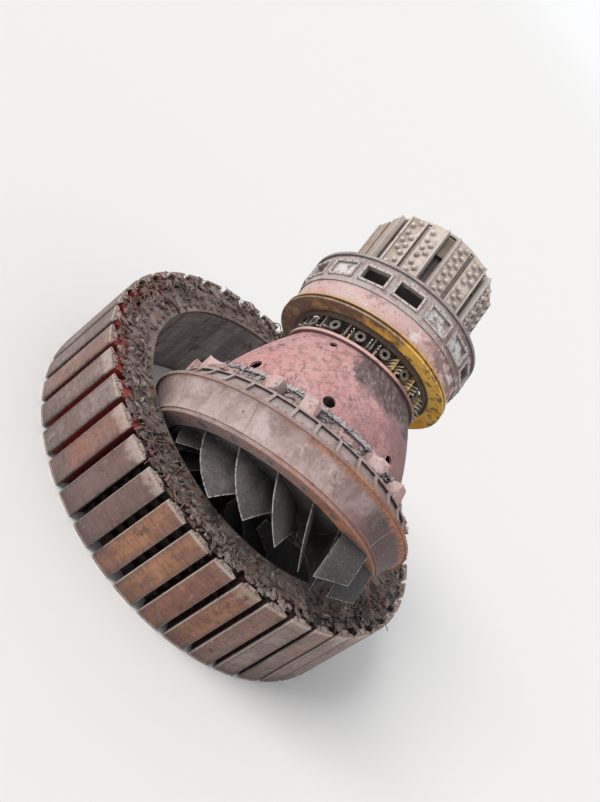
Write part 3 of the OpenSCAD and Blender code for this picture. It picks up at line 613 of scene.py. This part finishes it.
aged("edge_paint", (0.17, 0.088, 0.070), (0.43, 0.185, 0.095), (0.40, 0.145, 0.062),
     on="cover_flange cover_lower_ring", rust_share=0.5, patch=1.8, grain=14.0, rough=0.8,
     edge=(0.46, 0.20, 0.10), bump=0.9, shade=flange_shade, edge_width=0.02)

# Low weld beads cross the band where its plates meet, and they follow its flare. A circle of
# bolts holds the flange.
weld_n = 10
flange_bolt_n = 108
flange_bolt_r = 3.915
bead_profile = [(0.035 + 0.345 * (i / 8) ** 1.7, 0.11 + 0.74 * i / 8) for i in range(9)]


def bead(points, thick):
    """A weld bead or a pipe along a line of points."""
    bpy.ops.object.select_all(action="DESELECT")
    bpy.ops.curve.primitive_nurbs_path_add()
    line = bpy.context.object
    line.data.splines.clear()
    spline = line.data.splines.new("POLY")
    spline.points.add(len(points) - 1)
    for point, place in zip(spline.points, points):
        point.co = (*place, 1)
    line.data.bevel_depth = thick
    line.data.bevel_resolution = 1
    line.data.use_fill_caps = True
    bpy.ops.object.convert(target="MESH")
    return line


band_bead = bead([(cover_r + out - 0.004, 0, level) for out, level in bead_profile], 0.014)
weld_paint = aged("weld_paint", (0.30, 0.20, 0.175), (0.40, 0.30, 0.27), (0.26, 0.135, 0.10), grain=24.0,
                  rough=0.75, dust_share=0.45)
set_down(band_bead, [turbine_place((i + 0.35) / weld_n, 0, 0) for i in range(weld_n)], "band_welds",
         weld_paint)
flange_bolts = [turbine_place((i + 0.5) / flange_bolt_n, flange_bolt_r, flange_level)
                for i in range(flange_bolt_n)]
set_down(hex_nut(0.032, 0.03, 0.02), flange_bolts, "flange_bolts", stud_iron)

# Pockets closed by sloping covers stand between the ribs under a flat ledge. The ribs are
# pale along their edges, and painted shade darkens the corners.


def pocket_shade(place, colour, fine):
    """Painted shade deepens towards +X, and each corner has its own stains."""
    x = place.x
    cloud = noise(place, 1.4, 6.0, 0.68)
    colour = (cloud.step(0.50, 0.60) * 0.5).mix(colour, (0.25, 0.165, 0.155))
    # Painted shade: the pockets darken towards +X.
    return ((x + cloud * 2.0).step(0.2, 2.4) * 0.6).mix(colour, (0.17, 0.095, 0.085))


aged("pocket_paint", (0.27, 0.200, 0.185), (0.38, 0.305, 0.288), (0.20, 0.11, 0.085),
     on="pocket_wall cover_ribs pocket_ledge", rust_share=0.4, patch=1.3, grain=8.0, rough=0.8,
     edge=(0.56, 0.46, 0.42), dust_share=0.35, bump=0.4, shade=pocket_shade)
aged("panel_paint", (0.30, 0.222, 0.208), (0.45, 0.365, 0.348), (0.22, 0.13, 0.105), on="pocket_covers",
     rust_share=0.35, patch=1.3, grain=7.0, rough=0.8, edge=(0.56, 0.47, 0.44), corner_shade=0.95, bump=0.4,
     shade=pocket_shade)

# The guide vane bearings are pink cast blocks with chipped corners, each with a stepped cap
# and four nuts. Broken stumps are left where a block is gone.
vane_n = 20
block_w = 0.48
block_h = 0.42
block_r = 3.36
ledge_level = 1.38
missing = (2, 5, 9, 12, 16, 19)


def ease(size, cuts, sharp):
    """Bevels the edges that are sharper than an angle."""
    pick(lambda edge: len(edge.link_faces) == 2 and edge.calc_face_angle(0) > sharp, "edges")
    bpy.ops.mesh.bevel(offset=size, segments=cuts, affect="EDGES")


def chipped_block(width, height, seed, chips):
    """A cast block, its foot at zero, with a stepped top and corners knocked off."""
    dice = random.Random(seed)
    block = start(bpy.ops.mesh.primitive_cube_add, size=1, scale=(width, width, height),
                  location=(0, 0, height / 2))
    edit()
    pick(lambda face: face.normal.z > 0.9)
    draw_up([(-0.0001, 0.8), (-0.03, 1.0)])
    for k in range(chips):
        corner = Vector((dice.choice((1, 1, -1)), dice.choice((-1, 1)), dice.choice((1, 0.6, -0.8))))
        inward = corner.copy()
        corner = (corner + Vector([dice.uniform(-0.45, 0.45) for axis in range(3)])).normalized()
        reach = Vector((inward.x * width / 2, inward.y * width / 2, inward.z * height / 2))
        bpy.ops.mesh.select_all(action="SELECT")
        bpy.ops.mesh.bisect(plane_co=Vector((0, 0, height / 2)) + reach * dice.uniform(0.62, 0.8),
                            plane_no=corner, clear_outer=True, use_fill=True)
    ease(0.014, 2, 0.4)
    bpy.ops.mesh.select_all(action="SELECT")
    bpy.ops.mesh.normals_make_consistent(inside=False)
    done()
    return block


def bearing_place(i, off):
    """The place of a guide vane's bearing on the ledge, turned a little off true."""
    return turbine_place(i / vane_n - 81 / 360, block_r, ledge_level) @ spun(chance.uniform(-off, off))


def block_shade(place, colour, fine):
    """Each block has a tone of its own, and grime has run down it."""
    cells = place.node("ShaderNodeTexVoronoi", {}, {"Vector": place, "Scale": 1.1}, output=1)
    tone = cells.along((0.5, 0.3, 0.2))
    colour = (tone.step(0.35, 0.75) * 0.6).mix(colour, (0.36, 0.22, 0.205))
    return (noise(place, 3.4, 6.0, 0.7).step(0.53, 0.62) * 0.55).mix(colour, (0.20, 0.125, 0.115))


block_paint = aged("block_paint", (0.54, 0.315, 0.285), (0.64, 0.46, 0.43), (0.24, 0.14, 0.115),
                   rust_share=0.35, patch=2.2, grain=10.0, rough=0.8, edge=(0.72, 0.58, 0.54), bump=0.8,
                   shade=block_shade)
block_places = [bearing_place(i, 0.09) for i in range(vane_n) if i not in missing]
blocks = [chipped_block(block_w, block_h, seed, chips) for seed, chips in ((3, 4), (8, 3), (21, 5), (34, 4))]
housings = set_down(blocks, block_places, "bearing_housings", block_paint)
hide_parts("bearing_blocks")
stump_places = [bearing_place(i, 0.4) for i in missing]
set_down([chipped_block(0.42, 0.13, 5, 3), chipped_block(0.36, 0.2, 6, 4)], stump_places,
         "broken_housings", block_paint)
cap_nuts = [place @ Matrix.Translation((dx, dy, block_h - 0.03)) for place in block_places
            for dx, dy in ((0.11, 0.0), (-0.11, 0.0), (0.0, 0.11), (0.0, -0.11))]
set_down(hex_nut(0.028, 0.024, 0.016), cap_nuts, "housing_nuts", stud_iron)

# The thrust cone is dusty salmon pink with a bright flange. Its upper end is bare and grey
# on the +X side, and scuffs, scratches and cracks spread over the rest.


def cone_shade(place, colour, fine):
    """Grey bare steel under the top flange on the +X side, mottled scuffs below, and painted shade towards
    +X.
    """
    x = place.x
    level = level_of(place)
    cloud = noise(place, 1.3, 6.0, 0.65)
    torn = noise(place, 3.2, 8.0, 0.74)
    colour = (noise(place, 0.8, 5.0, 0.6).step(0.48, 0.62) * 0.5).mix(colour, (0.56, 0.39, 0.385))
    mottle = noise(place, 7.5, 5.0, 0.72)
    colour = (mottle.step(0.50, 0.60) * 0.42).mix(colour, (0.36, 0.20, 0.19))
    colour = ((1 - mottle.step(0.36, 0.45)) * 0.5).mix(colour, (0.66, 0.44, 0.42))
    colour = ((torn * 0.7 + fine * 0.3).step(0.50, 0.56) * 0.65).mix(colour, (0.27, 0.155, 0.15))
    near = (x + cloud * 1.6).step(-0.9, 1.4)
    colour = ((torn * 0.5 + cloud * 0.5).step(0.44, 0.54) * near * 0.6).mix(colour, (0.29, 0.155, 0.15))
    # Painted shade: the cone darkens towards +X and higher up.
    colour = ((x + level * 0.2 + cloud).step(1.0, 2.4) * 0.75).mix(colour, (0.20, 0.105, 0.10))
    nicks = noise(place, 1.0, 4.0, 0.7, stretch=(9.0, 3.0, 3.0))
    rubbed = noise(place, 1.2, 3.0, 0.6).step(0.48, 0.6)
    colour = (nicks.step(0.55, 0.59) * rubbed * 0.9).mix(colour, (0.10, 0.062, 0.058))
    cracks = noise(place, 1.9, 7.0, 0.62) - 0.5
    cracks = (1 - cracks.math("ABSOLUTE", cracks).step(0.004, 0.013)) * cloud.step(0.44, 0.52)
    colour = (cracks * 0.75).mix(colour, (0.11, 0.062, 0.060))
    ragged = level + cloud * 1.3 - torn * 0.5
    bare = ragged.step(3.60, 3.68) * (x + cloud * 1.6 - torn * 0.8).step(-0.55, -0.40)
    steel = (torn * 0.6 + fine * 0.4).step(0.44, 0.56).mix((0.036, 0.030, 0.030), (0.092, 0.070, 0.070))
    steel = (nicks.step(0.54, 0.58) * 0.5).mix(steel, (0.34, 0.28, 0.27))
    rim = bare * (1 - ragged.step(3.68, 3.86))
    return (rim * 0.6).mix((bare * 0.93).mix(colour, steel), (0.34, 0.20, 0.19))


aged("cone_paint", (0.53, 0.24, 0.228), (0.57, 0.31, 0.30), (0.27, 0.155, 0.15), on="thrust_cone",
     dust=(0.34, 0.25, 0.24), rust_share=0.38, patch=0.9, grain=7.0, rough=0.8, dust_share=0.15, bump=0.45,
     edge=(0.66, 0.40, 0.36), shade=cone_shade)


def rim_shade(place, colour, fine):
    """Painted shade darkens the top flange to brown on the +X side."""
    rim_painted_shade = (place.x + noise(place, 1.6, 6.0, 0.7) * 2.0).step(0.8, 1.5)
    return (rim_painted_shade * 0.8).mix(colour, (0.17, 0.098, 0.088))


aged("cone_flange_paint", (0.60, 0.32, 0.285), (0.68, 0.46, 0.425), (0.25, 0.14, 0.11), on="cone_top_flange",
     rust_share=0.3, patch=1.1, grain=9.0, rough=0.7, shade=rim_shade)
aged("foot_steel", (0.32, 0.295, 0.315), (0.46, 0.43, 0.45), (0.28, 0.17, 0.155), on="cone_foot_flange",
     rust_share=0.4, patch=1.4, grain=12.0, rough=0.65, metal=0.15, edge=(0.6, 0.56, 0.57))
aged("hatch_paint", (0.24, 0.18, 0.17), (0.34, 0.26, 0.245), (0.22, 0.12, 0.09), on="cone_hatches",
     edge=(0.5, 0.4, 0.37))

# Studs stand all round the cone's foot flange, silvery where they are scraped. Broken lids
# and links of the vane gear lie among them, and pink rubble of the blocks on the ledge.
foot_n = 110
foot_level = 1.92
foot_stud_r = 3.07
foot_edge_r = 3.146
ledge_wall_r = 3.078
ledge_edge_r = 3.56
scrap_n = 150
edge_scrap_n = 190
rubble_n = 300
wall_rubble_n = 150
outward = Matrix.Rotation(math.pi / 2, 4, "Y")
stud_silver = aged("stud_silver", (0.38, 0.36, 0.375), (0.54, 0.51, 0.53), (0.30, 0.16, 0.14), grain=20.0,
                   rough=0.55, metal=0.25, dust_share=0.3)
foot_places = [turbine_place(i / foot_n, foot_stud_r, foot_level) for i in range(foot_n)
               if chance.random() > 0.15]
set_down(hex_nut(0.05, 0.045, 0.03), foot_places, "foot_studs", stud_silver)
scrap_silver = aged("scrap_silver", (0.36, 0.32, 0.335), (0.58, 0.54, 0.56), (0.30, 0.15, 0.13),
                    rust_share=0.55, patch=2.4, grain=18.0, rough=0.7, dust_share=0.35, bump=0.6)
scrap_places = [strewn(turbine_place(chance.random(), chance.uniform(3.0, 3.14), foot_level), 0.4, 1.0)
                for i in range(scrap_n)]
scrap_places += [strewn(turbine_place(chance.random(), foot_edge_r, chance.uniform(1.86, 1.90)) @ outward,
                        0.5, 1.0) for i in range(edge_scrap_n)]
scrap_places += [turbine_place(chance.random(), ledge_wall_r, 1.84 - abs(chance.gauss(0, 0.12))) @ outward
                 @ spun(chance.uniform(-0.5, 0.5) + 1.57) @ Matrix.Scale(chance.uniform(0.6, 1.3), 4)
                 for i in range(edge_scrap_n)]
set_down([lump(0.075, 5, 0.7), bent_rod(0.26, 0.016), lump(0.05, 6, 0.9), bent_rod(0.2, 0.005, 0.03),
          lump(0.065, 8)], scrap_places, "vane_gear_scrap", scrap_silver)
scrap_pink = aged("scrap_pink", (0.34, 0.205, 0.19), (0.55, 0.42, 0.40), (0.20, 0.11, 0.085),
                  rust_share=0.55, patch=2.6, grain=14.0, rough=0.8, dust_share=0.35, bump=0.6)
rubble_places = []
for i in range(rubble_n):
    angle = chance.random()
    inward = abs(chance.gauss(0, 0.2)) % 0.42
    rubble_places.append(strewn(turbine_place(angle, ledge_edge_r - inward, ledge_level), 0.6, 1.6))
rubble_places += [strewn(turbine_place(chance.random(), ledge_wall_r, chance.uniform(1.42, 1.72)) @ outward,
                         0.6, 1.4) for i in range(wall_rubble_n)]
set_down([lump(0.09, 15, 0.8), lump(0.06, 16, 1.0), bent_rod(0.3, 0.018), lump(0.11, 18, 0.6),
          lump(0.05, 19, 0.9)], rubble_places, "ledge_rubble", scrap_pink)

# Above the cone stands the bearing tank, dark and oily, between brackets with painted highlights on their
# edges.
# Its flanged pipe stubs point outwards, each with eight bolts, and oil lines run round it.


def tank_shade(place, colour, fine):
    """Some yellow paint is left on the tank on the +X side, under oil and painted shade in its corners."""
    kept = (place.x + fine * 2.0).step(0.6, 1.0) * noise(place, 2.4, 5.0, 0.65).step(0.40, 0.50)
    return (kept * 0.9).mix(colour, (0.80, 0.50, 0.09))


tank_paint = aged("tank_paint", (0.065, 0.054, 0.048), (0.125, 0.104, 0.09), (0.13, 0.08, 0.05),
                  on="bearing_tank", rough=0.7, dust_share=0.2, shade=tank_shade, corner_shade=0.55)


def bracket_shade(place, colour, fine):
    """The brackets keep some yellow paint on the +X side."""
    return (place.x + fine * 2.0).step(0.4, 0.8).mix(colour, (0.85, 0.55, 0.11))


# The pale edge colour of the brackets is a painted highlight.
aged("bracket_paint", (0.12, 0.10, 0.085), (0.22, 0.18, 0.155), (0.16, 0.09, 0.06), on="ring_brackets",
     rough=0.7, edge=(0.66, 0.57, 0.46), shade=bracket_shade, corner_shade=0.3, edge_width=0.015)
aged("pipe_steel", (0.13, 0.112, 0.098), (0.25, 0.215, 0.188), (0.18, 0.10, 0.07), on="pipe_stubs",
     rough=0.7, metal=0.1, edge=(0.36, 0.315, 0.275))
bay_n = 16
gap_level = 4.35
stub_face_r = 2.02
stub_level = gap_level + 0.27
tank_floor = start(bpy.ops.mesh.primitive_circle_add, vertices=64, radius=1.655)
edit()
pick(lambda edge: True, "edges")
for rise, narrow in ((0.0, 0.9), (0.05, 0.97), (0.0, 0.62), (-0.05, 0.94)):
    bpy.ops.mesh.extrude_edges_move(TRANSFORM_OT_translate={"value": (0, 0, rise)})
    bpy.ops.transform.resize(value=(narrow, narrow, 1), center_override=(0, 0, 0))
done()
tank_floor.modifiers.new("plate", "SOLIDIFY").thickness = 0.025
bpy.ops.object.modifier_apply(modifier="plate")
set_down(tank_floor, [turbine_place(0, 0, gap_level + 0.06)], "tank_floor", tank_paint)
stub_bolts = []
for i in range(bay_n):
    for k in range(8):
        round_pipe = 2 * math.pi * (k + 0.5) / 8
        aside = 0.12 * math.cos(round_pipe)
        level = stub_level + 0.12 * math.sin(round_pipe)
        stub_bolts.append(turbine_place((i + 0.5) / bay_n, stub_face_r, level, aside) @ outward)
set_down(hex_nut(0.017, 0.015, 0.008), stub_bolts, "stub_bolts", stud_iron)
oil_steel = aged("oil_steel", (0.20, 0.175, 0.14), (0.34, 0.30, 0.25), (0.18, 0.10, 0.07), grain=16.0,
                 rough=0.6, metal=0.2)
circle = [2 * math.pi * k / 72 for k in range(73)]
oil_lines = ((1.76, 0.07, 0.024), (1.77, 0.45, 0.02), (1.84, 0.50, 0.016))
for number, (r, height, tube) in enumerate(oil_lines, 1):
    oil_line = bead([(r * math.cos(angle), r * math.sin(angle), 0) for angle in circle], tube)
    set_down(oil_line, [turbine_place(0, 0, gap_level + height)], "oil_line_%d" % number,
             oil_steel)

# Pale braces join the tank to the lip of the yellow ring, two in each bay. In the bays that
# kept their yellow paint they stand closer, as a rack of parallel rods.
brace_pale = aged("brace_pale", (0.74, 0.66, 0.55), (0.86, 0.80, 0.70), (0.36, 0.24, 0.15), grain=20.0,
                  rough=0.65, dust_share=0.2, corner_shade=0.1)
rack_bays = (10, 11, 12, 13, 14)
tank_r = 1.70
rod_places = []
for i in range(bay_n):
    for share in (0.15, 0.83):
        for rise in ((0.14, 0.25, 0.36) if i in rack_bays else (0.3,)):
            lean_out = Matrix.Rotation(0.1 if i in rack_bays else chance.uniform(0.1, 0.9), 4, "Y")
            foot_of_rod = turbine_place((i + share) / bay_n, tank_r, gap_level + rise)
            rod_places.append(foot_of_rod @ lean_out @ spun(0.12))
rod = bead([(0, 0, 0), (0.18, 0, 0.012), (0.42, 0, 0.012)], 0.019)
set_down(rod, rod_places, "gap_braces", brace_pale)
lug_yellow = aged("lug_yellow", (0.58, 0.34, 0.04), (0.66, 0.44, 0.10), (0.20, 0.11, 0.06), grain=16.0,
                  rough=0.6, dust_share=0.2, edge=(0.30, 0.22, 0.16))
lug = start(bpy.ops.mesh.primitive_cube_add, size=1, scale=(0.22, 0.05, 0.16), location=(0.11, 0, 0.08))
edit()
pick(lambda face: face.normal.z > 0.9)
draw_up([(0.06, 0.55)])
ease(0.008, 2, 0.5)
done()
lug_r = 1.80
lug_angles = (-131, -108, -86, -63, -40, 52, 140)
lug_places = [turbine_place(degrees / 360, lug_r, gap_level) for degrees in lug_angles]
set_down(lug, lug_places, "yellow_lugs", lug_yellow)

# The ring round the bearing is ochre yellow, worn through to brown on the -X side. The lip
# inside it is darkened by painted shade, and its outer edge carries a thin bright line.


def yellow_shade(place, colour, fine):
    """Bright yellow towards +X, brown where the paint is worn off, painted shade along the inner lip."""
    x = place.x
    r = turbine_r_of(place)
    cloud = noise(place, 1.6, 6.0, 0.65)
    worn = (x + cloud * 4.0).step(0.5, 1.7)
    ochre = (cloud * 0.6 + fine * 0.4).step(0.46, 0.56).mix((0.17, 0.11, 0.07), (0.40, 0.25, 0.10))
    colour = (1 - worn).mix(colour, ochre)
    colour = (noise(place, 3.4, 6.0, 0.7).step(0.53, 0.58) * 0.85).mix(colour, (0.15, 0.09, 0.06))
    # Painted shade: a dark band along the inner lip stands in for the shadow of the gap behind it.
    colour = (1 - (r + fine * 0.05).step(2.19, 2.24)).mix(colour, (0.075, 0.050, 0.048))
    level = level_of(place)
    line = r.step(2.585, 2.60) * (level + fine * 0.04).step(5.0, 5.03)
    return (line * 0.8).mix(colour, (0.62, 0.36, 0.16))


aged("yellow_paint", (1.0, 0.64, 0.13), (0.90, 0.44, 0.06), (0.24, 0.12, 0.06), on="yellow_ring",
     rust_share=0.36, patch=1.0, grain=8.0, rough=0.6, dust_share=0.15, edge=(0.34, 0.22, 0.13),
     shade=yellow_shade, corner_shade=0.35)

# The bearing housing is a plain salmon ring under a grey-pink one with a row of rectangular
# windows. Both are chalky where the paint flakes off the filler.


def chalky(place, colour, fine):
    """White patches where filler shows through, more towards +X, and dark rust and painted shade there."""
    x = place.x
    cloud = noise(place, 2.0, 7.0, 0.7)
    colour = ((cloud * 0.8 + fine * 0.2 + x * 0.025).step(0.53, 0.60) * 0.85).mix(colour, (0.74, 0.67, 0.65))
    grime = noise(place, 3.1, 6.0, 0.7)
    colour = (grime.step(0.56, 0.62) * 0.7).mix(colour, (0.24, 0.155, 0.14))
    # Dark brown patches towards +X are partly rust and partly painted shade.
    rust_and_shade = (x + cloud * 2.0).step(1.1, 1.7) * grime.step(0.44, 0.50)
    return (rust_and_shade * 0.85).mix(colour, (0.19, 0.115, 0.10))


aged("ring_pink", (0.55, 0.315, 0.28), (0.62, 0.44, 0.415), (0.26, 0.15, 0.125), on="plain_ring",
     rust_share=0.28, patch=0.9, grain=8.0, rough=0.8, edge=(0.66, 0.58, 0.55), shade=chalky)
aged("housing_paint", (0.36, 0.285, 0.27), (0.47, 0.40, 0.385), (0.24, 0.14, 0.11), on="window_ring",
     rust_share=0.32, patch=0.9, grain=8.0, rough=0.8, edge=(0.60, 0.53, 0.49), shade=chalky)
aged("frame_paint", (0.42, 0.36, 0.335), (0.56, 0.50, 0.475), (0.24, 0.14, 0.10), on="window_frames",
     rough=0.75, edge=(0.68, 0.62, 0.57))


def splashed(place, colour, fine):
    """Rust and sooty grime run over the white paint."""
    cloud = noise(place, 3.0, 7.0, 0.72)
    return cloud.step(0.48, 0.56).mix(colour, (0.20, 0.155, 0.14))


aged("white_patch", (0.66, 0.63, 0.61), (0.78, 0.76, 0.74), (0.30, 0.14, 0.08), on="window_covers",
     rust_share=0.5, patch=1.5, grain=9.0, rough=0.7, shade=splashed, corner_shade=0.6)
aged("flange_steel", (0.24, 0.20, 0.19), (0.38, 0.33, 0.31), (0.20, 0.11, 0.08), on="window_top_flange",
     rough=0.65, edge=(0.16, 0.11, 0.105))
window_level = 6.08
frame_face_r = 2.633
round_frame = [(aside, up) for up in (-0.245, 0.245) for aside in (-0.39, -0.13, 0.13, 0.39)]
round_frame += [(-0.39, 0), (0.39, 0)]
frame_bolts = [turbine_place(i / bay_n, frame_face_r, window_level + up, aside) @ outward
               for i in range(bay_n) for aside, up in round_frame]
set_down(hex_nut(0.018, 0.014, 0.006), frame_bolts, "frame_bolts", stud_iron)
top_bolt_n = 72
top_bolt_r = 2.56
top_level = 6.61
top_bolts = [turbine_place((i + 0.5) / top_bolt_n, top_bolt_r, top_level) for i in range(top_bolt_n)]
set_down(hex_nut(0.034, 0.03, 0.02), top_bolts, "top_flange_bolts", stud_iron)

# The hub carries flat pads that the rotor's arms were bolted to, each with two strips of big
# domed nuts in staggered columns. The pad on the -X side has lost its nuts.
pad_n = 8
bare_pad = 4
pad_face_r = 1.88
aged("hub_iron", (0.085, 0.074, 0.068), (0.15, 0.13, 0.12), (0.14, 0.085, 0.055), on="hub_core", rough=0.8,
     dust_share=0.3)


def pad_shade(place, colour, fine):
    """The pads have rusted on the +X side, and the bare one on the -X side is ochre-brown."""
    x = place.x
    cloud = noise(place, 1.5, 6.0, 0.65)
    ochre = (cloud * 0.6 + fine * 0.4).step(0.42, 0.6).mix((0.25, 0.175, 0.115), (0.36, 0.28, 0.21))
    colour = ((1 - (x + cloud * 0.3).step(-1.5, -1.25)) * 0.8).mix(colour, ochre)
    colour = ((x + cloud * 1.6).step(1.9, 2.5) * 0.8).mix(colour, (0.24, 0.12, 0.075))
    stains = noise(place, 5.0, 5.0, 0.68).step(0.52, 0.62)
    colour = (stains * 0.55).mix(colour, (0.27, 0.18, 0.13))
    # The pad darkens to brown in the hollows round its nuts, partly stains and partly painted shade.
    hollow = place.node("ShaderNodeAmbientOcclusion", {"samples": 4}, {"Distance": 0.12}, output=1)
    return ((1 - hollow.step(0.3, 0.95)) * 0.6).mix(colour, (0.14, 0.095, 0.07))


aged("pad_steel", (0.58, 0.475, 0.41), (0.72, 0.63, 0.56), (0.26, 0.155, 0.105), on="hub_pads hub_top_plate",
     rust_share=0.4, patch=0.8, grain=9.0, rough=0.75, edge=(0.58, 0.51, 0.45), shade=pad_shade)
aged("bar_paint", (0.50, 0.43, 0.385), (0.62, 0.56, 0.51), (0.24, 0.14, 0.10), on="pad_bars", rough=0.75,
     edge=(0.62, 0.56, 0.50))
dome = turned(10, 0.078, 0.03, [(0.0, 0.88), (0.035, 0.97), (0.03, 0.78), (0.014, 0.5)])
bpy.ops.object.shade_smooth_by_angle(angle=math.radians(40))
nut_steel = aged("nut_steel", (0.54, 0.465, 0.41), (0.70, 0.63, 0.575), (0.28, 0.14, 0.09), grain=16.0,
                 rough=0.6, metal=0.1, edge=(0.66, 0.6, 0.54), dust_share=0.35)
first_nut_level = 6.845
nut_pitch = 0.29
nut_places = []
for i in range(pad_n):
    for column, aside in enumerate((-0.40, -0.22, 0.22, 0.40)):
        for k in range(7):
            level = first_nut_level + nut_pitch * (k + 0.5 * (column % 2))
            if chance.random() > (0.9 if i == bare_pad else 0.05):
                nut_places.append(turbine_place(i / pad_n, pad_face_r, level, aside) @ outward)
set_down(dome, nut_places, "pad_nuts", nut_steel)

# Brown closing plates cover the upper third of the slots between the pads. They sit on the
# hub with a folded edge and lean a little.
slot_r = 1.72
slot_level = 8.50
open_slot = 2
slot_plate = start(bpy.ops.mesh.primitive_cube_add, size=1, scale=(0.03, 0.30, 0.74), location=(0.015, 0, 0))
edit()
bpy.ops.mesh.select_all(action="SELECT")
bpy.ops.mesh.subdivide(number_cuts=5)
pick(lambda face: face.normal.x > 0.9 and abs(face.calc_center_median().y) < 0.09
     and abs(face.calc_center_median().z) < 0.27)
bpy.ops.transform.translate(value=(-0.014, 0, 0))
pick(lambda face: face.normal.z < -0.9)
bpy.ops.mesh.extrude_region_move(TRANSFORM_OT_translate={"value": (0.05, 0, -0.012)})
ease(0.004, 1, 0.9)
done()
slot_brown = aged("slot_brown", (0.20, 0.135, 0.085), (0.30, 0.215, 0.145), (0.15, 0.08, 0.05), patch=2.0,
                  grain=12.0, rough=0.75, dust_share=0.3)
slot_places = [turbine_place((i + 0.5) / pad_n, slot_r, slot_level) @ spun(chance.uniform(-0.04, 0.04))
               for i in range(pad_n) if i != open_slot]
set_down(slot_plate, slot_places, "slot_plates", slot_brown)

# A plain pale floor lies under the ring and rises far away. Soft light falls from above and
# the left, and the camera looks down on the machine from the same side.
floor_r = 500
floor_rise = 300
floor = start(bpy.ops.mesh.primitive_circle_add, vertices=128, radius=floor_r, fill_type="NGON")
edit()
pick(lambda edge: True, "edges")
bpy.ops.mesh.extrude_edges_move(TRANSFORM_OT_translate={"value": (0, 0, floor_rise)})
bpy.ops.transform.resize(value=(8, 8, 1), center_override=(0, 0, 0))
done()
floor.name = "floor"
floor_skin = bpy.data.materials.new("floor_skin")
floor_skin.use_nodes = True
floor_tree = floor_skin.node_tree
floor_shader = floor_tree.nodes["Principled BSDF"]
far = ring_r_of(Wire(floor_tree).node("ShaderNodeTexCoord", output=3)).step(60.0, 700.0)
pale = far.mix((0.80, 0.79, 0.77), (0.86, 0.86, 0.86))
floor_tree.links.new(pale.socket, floor_shader.inputs["Base Color"])
floor_shader.inputs["Roughness"].default_value = 0.9
floor.data.materials.append(floor_skin)

world = bpy.data.worlds.new("studio")
bpy.context.scene.world = world
world.use_nodes = True
air = Wire(world.node_tree)
camera_ray = air.node("ShaderNodeLightPath", output=0)
glossy_ray = air.node("ShaderNodeLightPath", output=3)
glass_ray = air.node("ShaderNodeLightPath", output=6)
seen = air.math("MAXIMUM", air.math("MAXIMUM", camera_ray, glossy_ray), glass_ray)
background = world.node_tree.nodes["Background"]
world.node_tree.links.new(seen.mix((0.62, 0.64, 0.67), (1, 1, 1)).socket, background.inputs["Color"])
background.inputs["Strength"].default_value = 1.0

lamp = bpy.data.lights.new("soft_light", "SUN")
lamp.energy = 2.2
lamp.angle = 0.6
lamp.color = (1.0, 0.97, 0.94)
sun = bpy.data.objects.new("soft_light", lamp)
sun.rotation_euler = Vector(from_above).to_track_quat("Z", "Y").to_euler()
bpy.context.scene.collection.objects.link(sun)

camera_data = bpy.data.cameras.new("camera")
camera_data.lens = 44.9
camera_data.clip_end = 9000
camera = bpy.data.objects.new("camera", camera_data)
camera_place = Vector((-9.083, -23.340, 15.819))
camera_right = Vector((0.6701, 0.1181, 0.7328))
camera_look = Vector((0.3113, 0.8515, -0.4219))
camera_up = camera_right.cross(camera_look)
camera_turn = Matrix((camera_right, camera_up, -camera_look)).transposed().to_4x4()
camera.matrix_world = Matrix.Translation(camera_place) @ camera_turn
bpy.context.scene.collection.objects.link(camera)
bpy.context.scene.camera = camera
bpy.context.scene.view_settings.view_transform = "Standard"
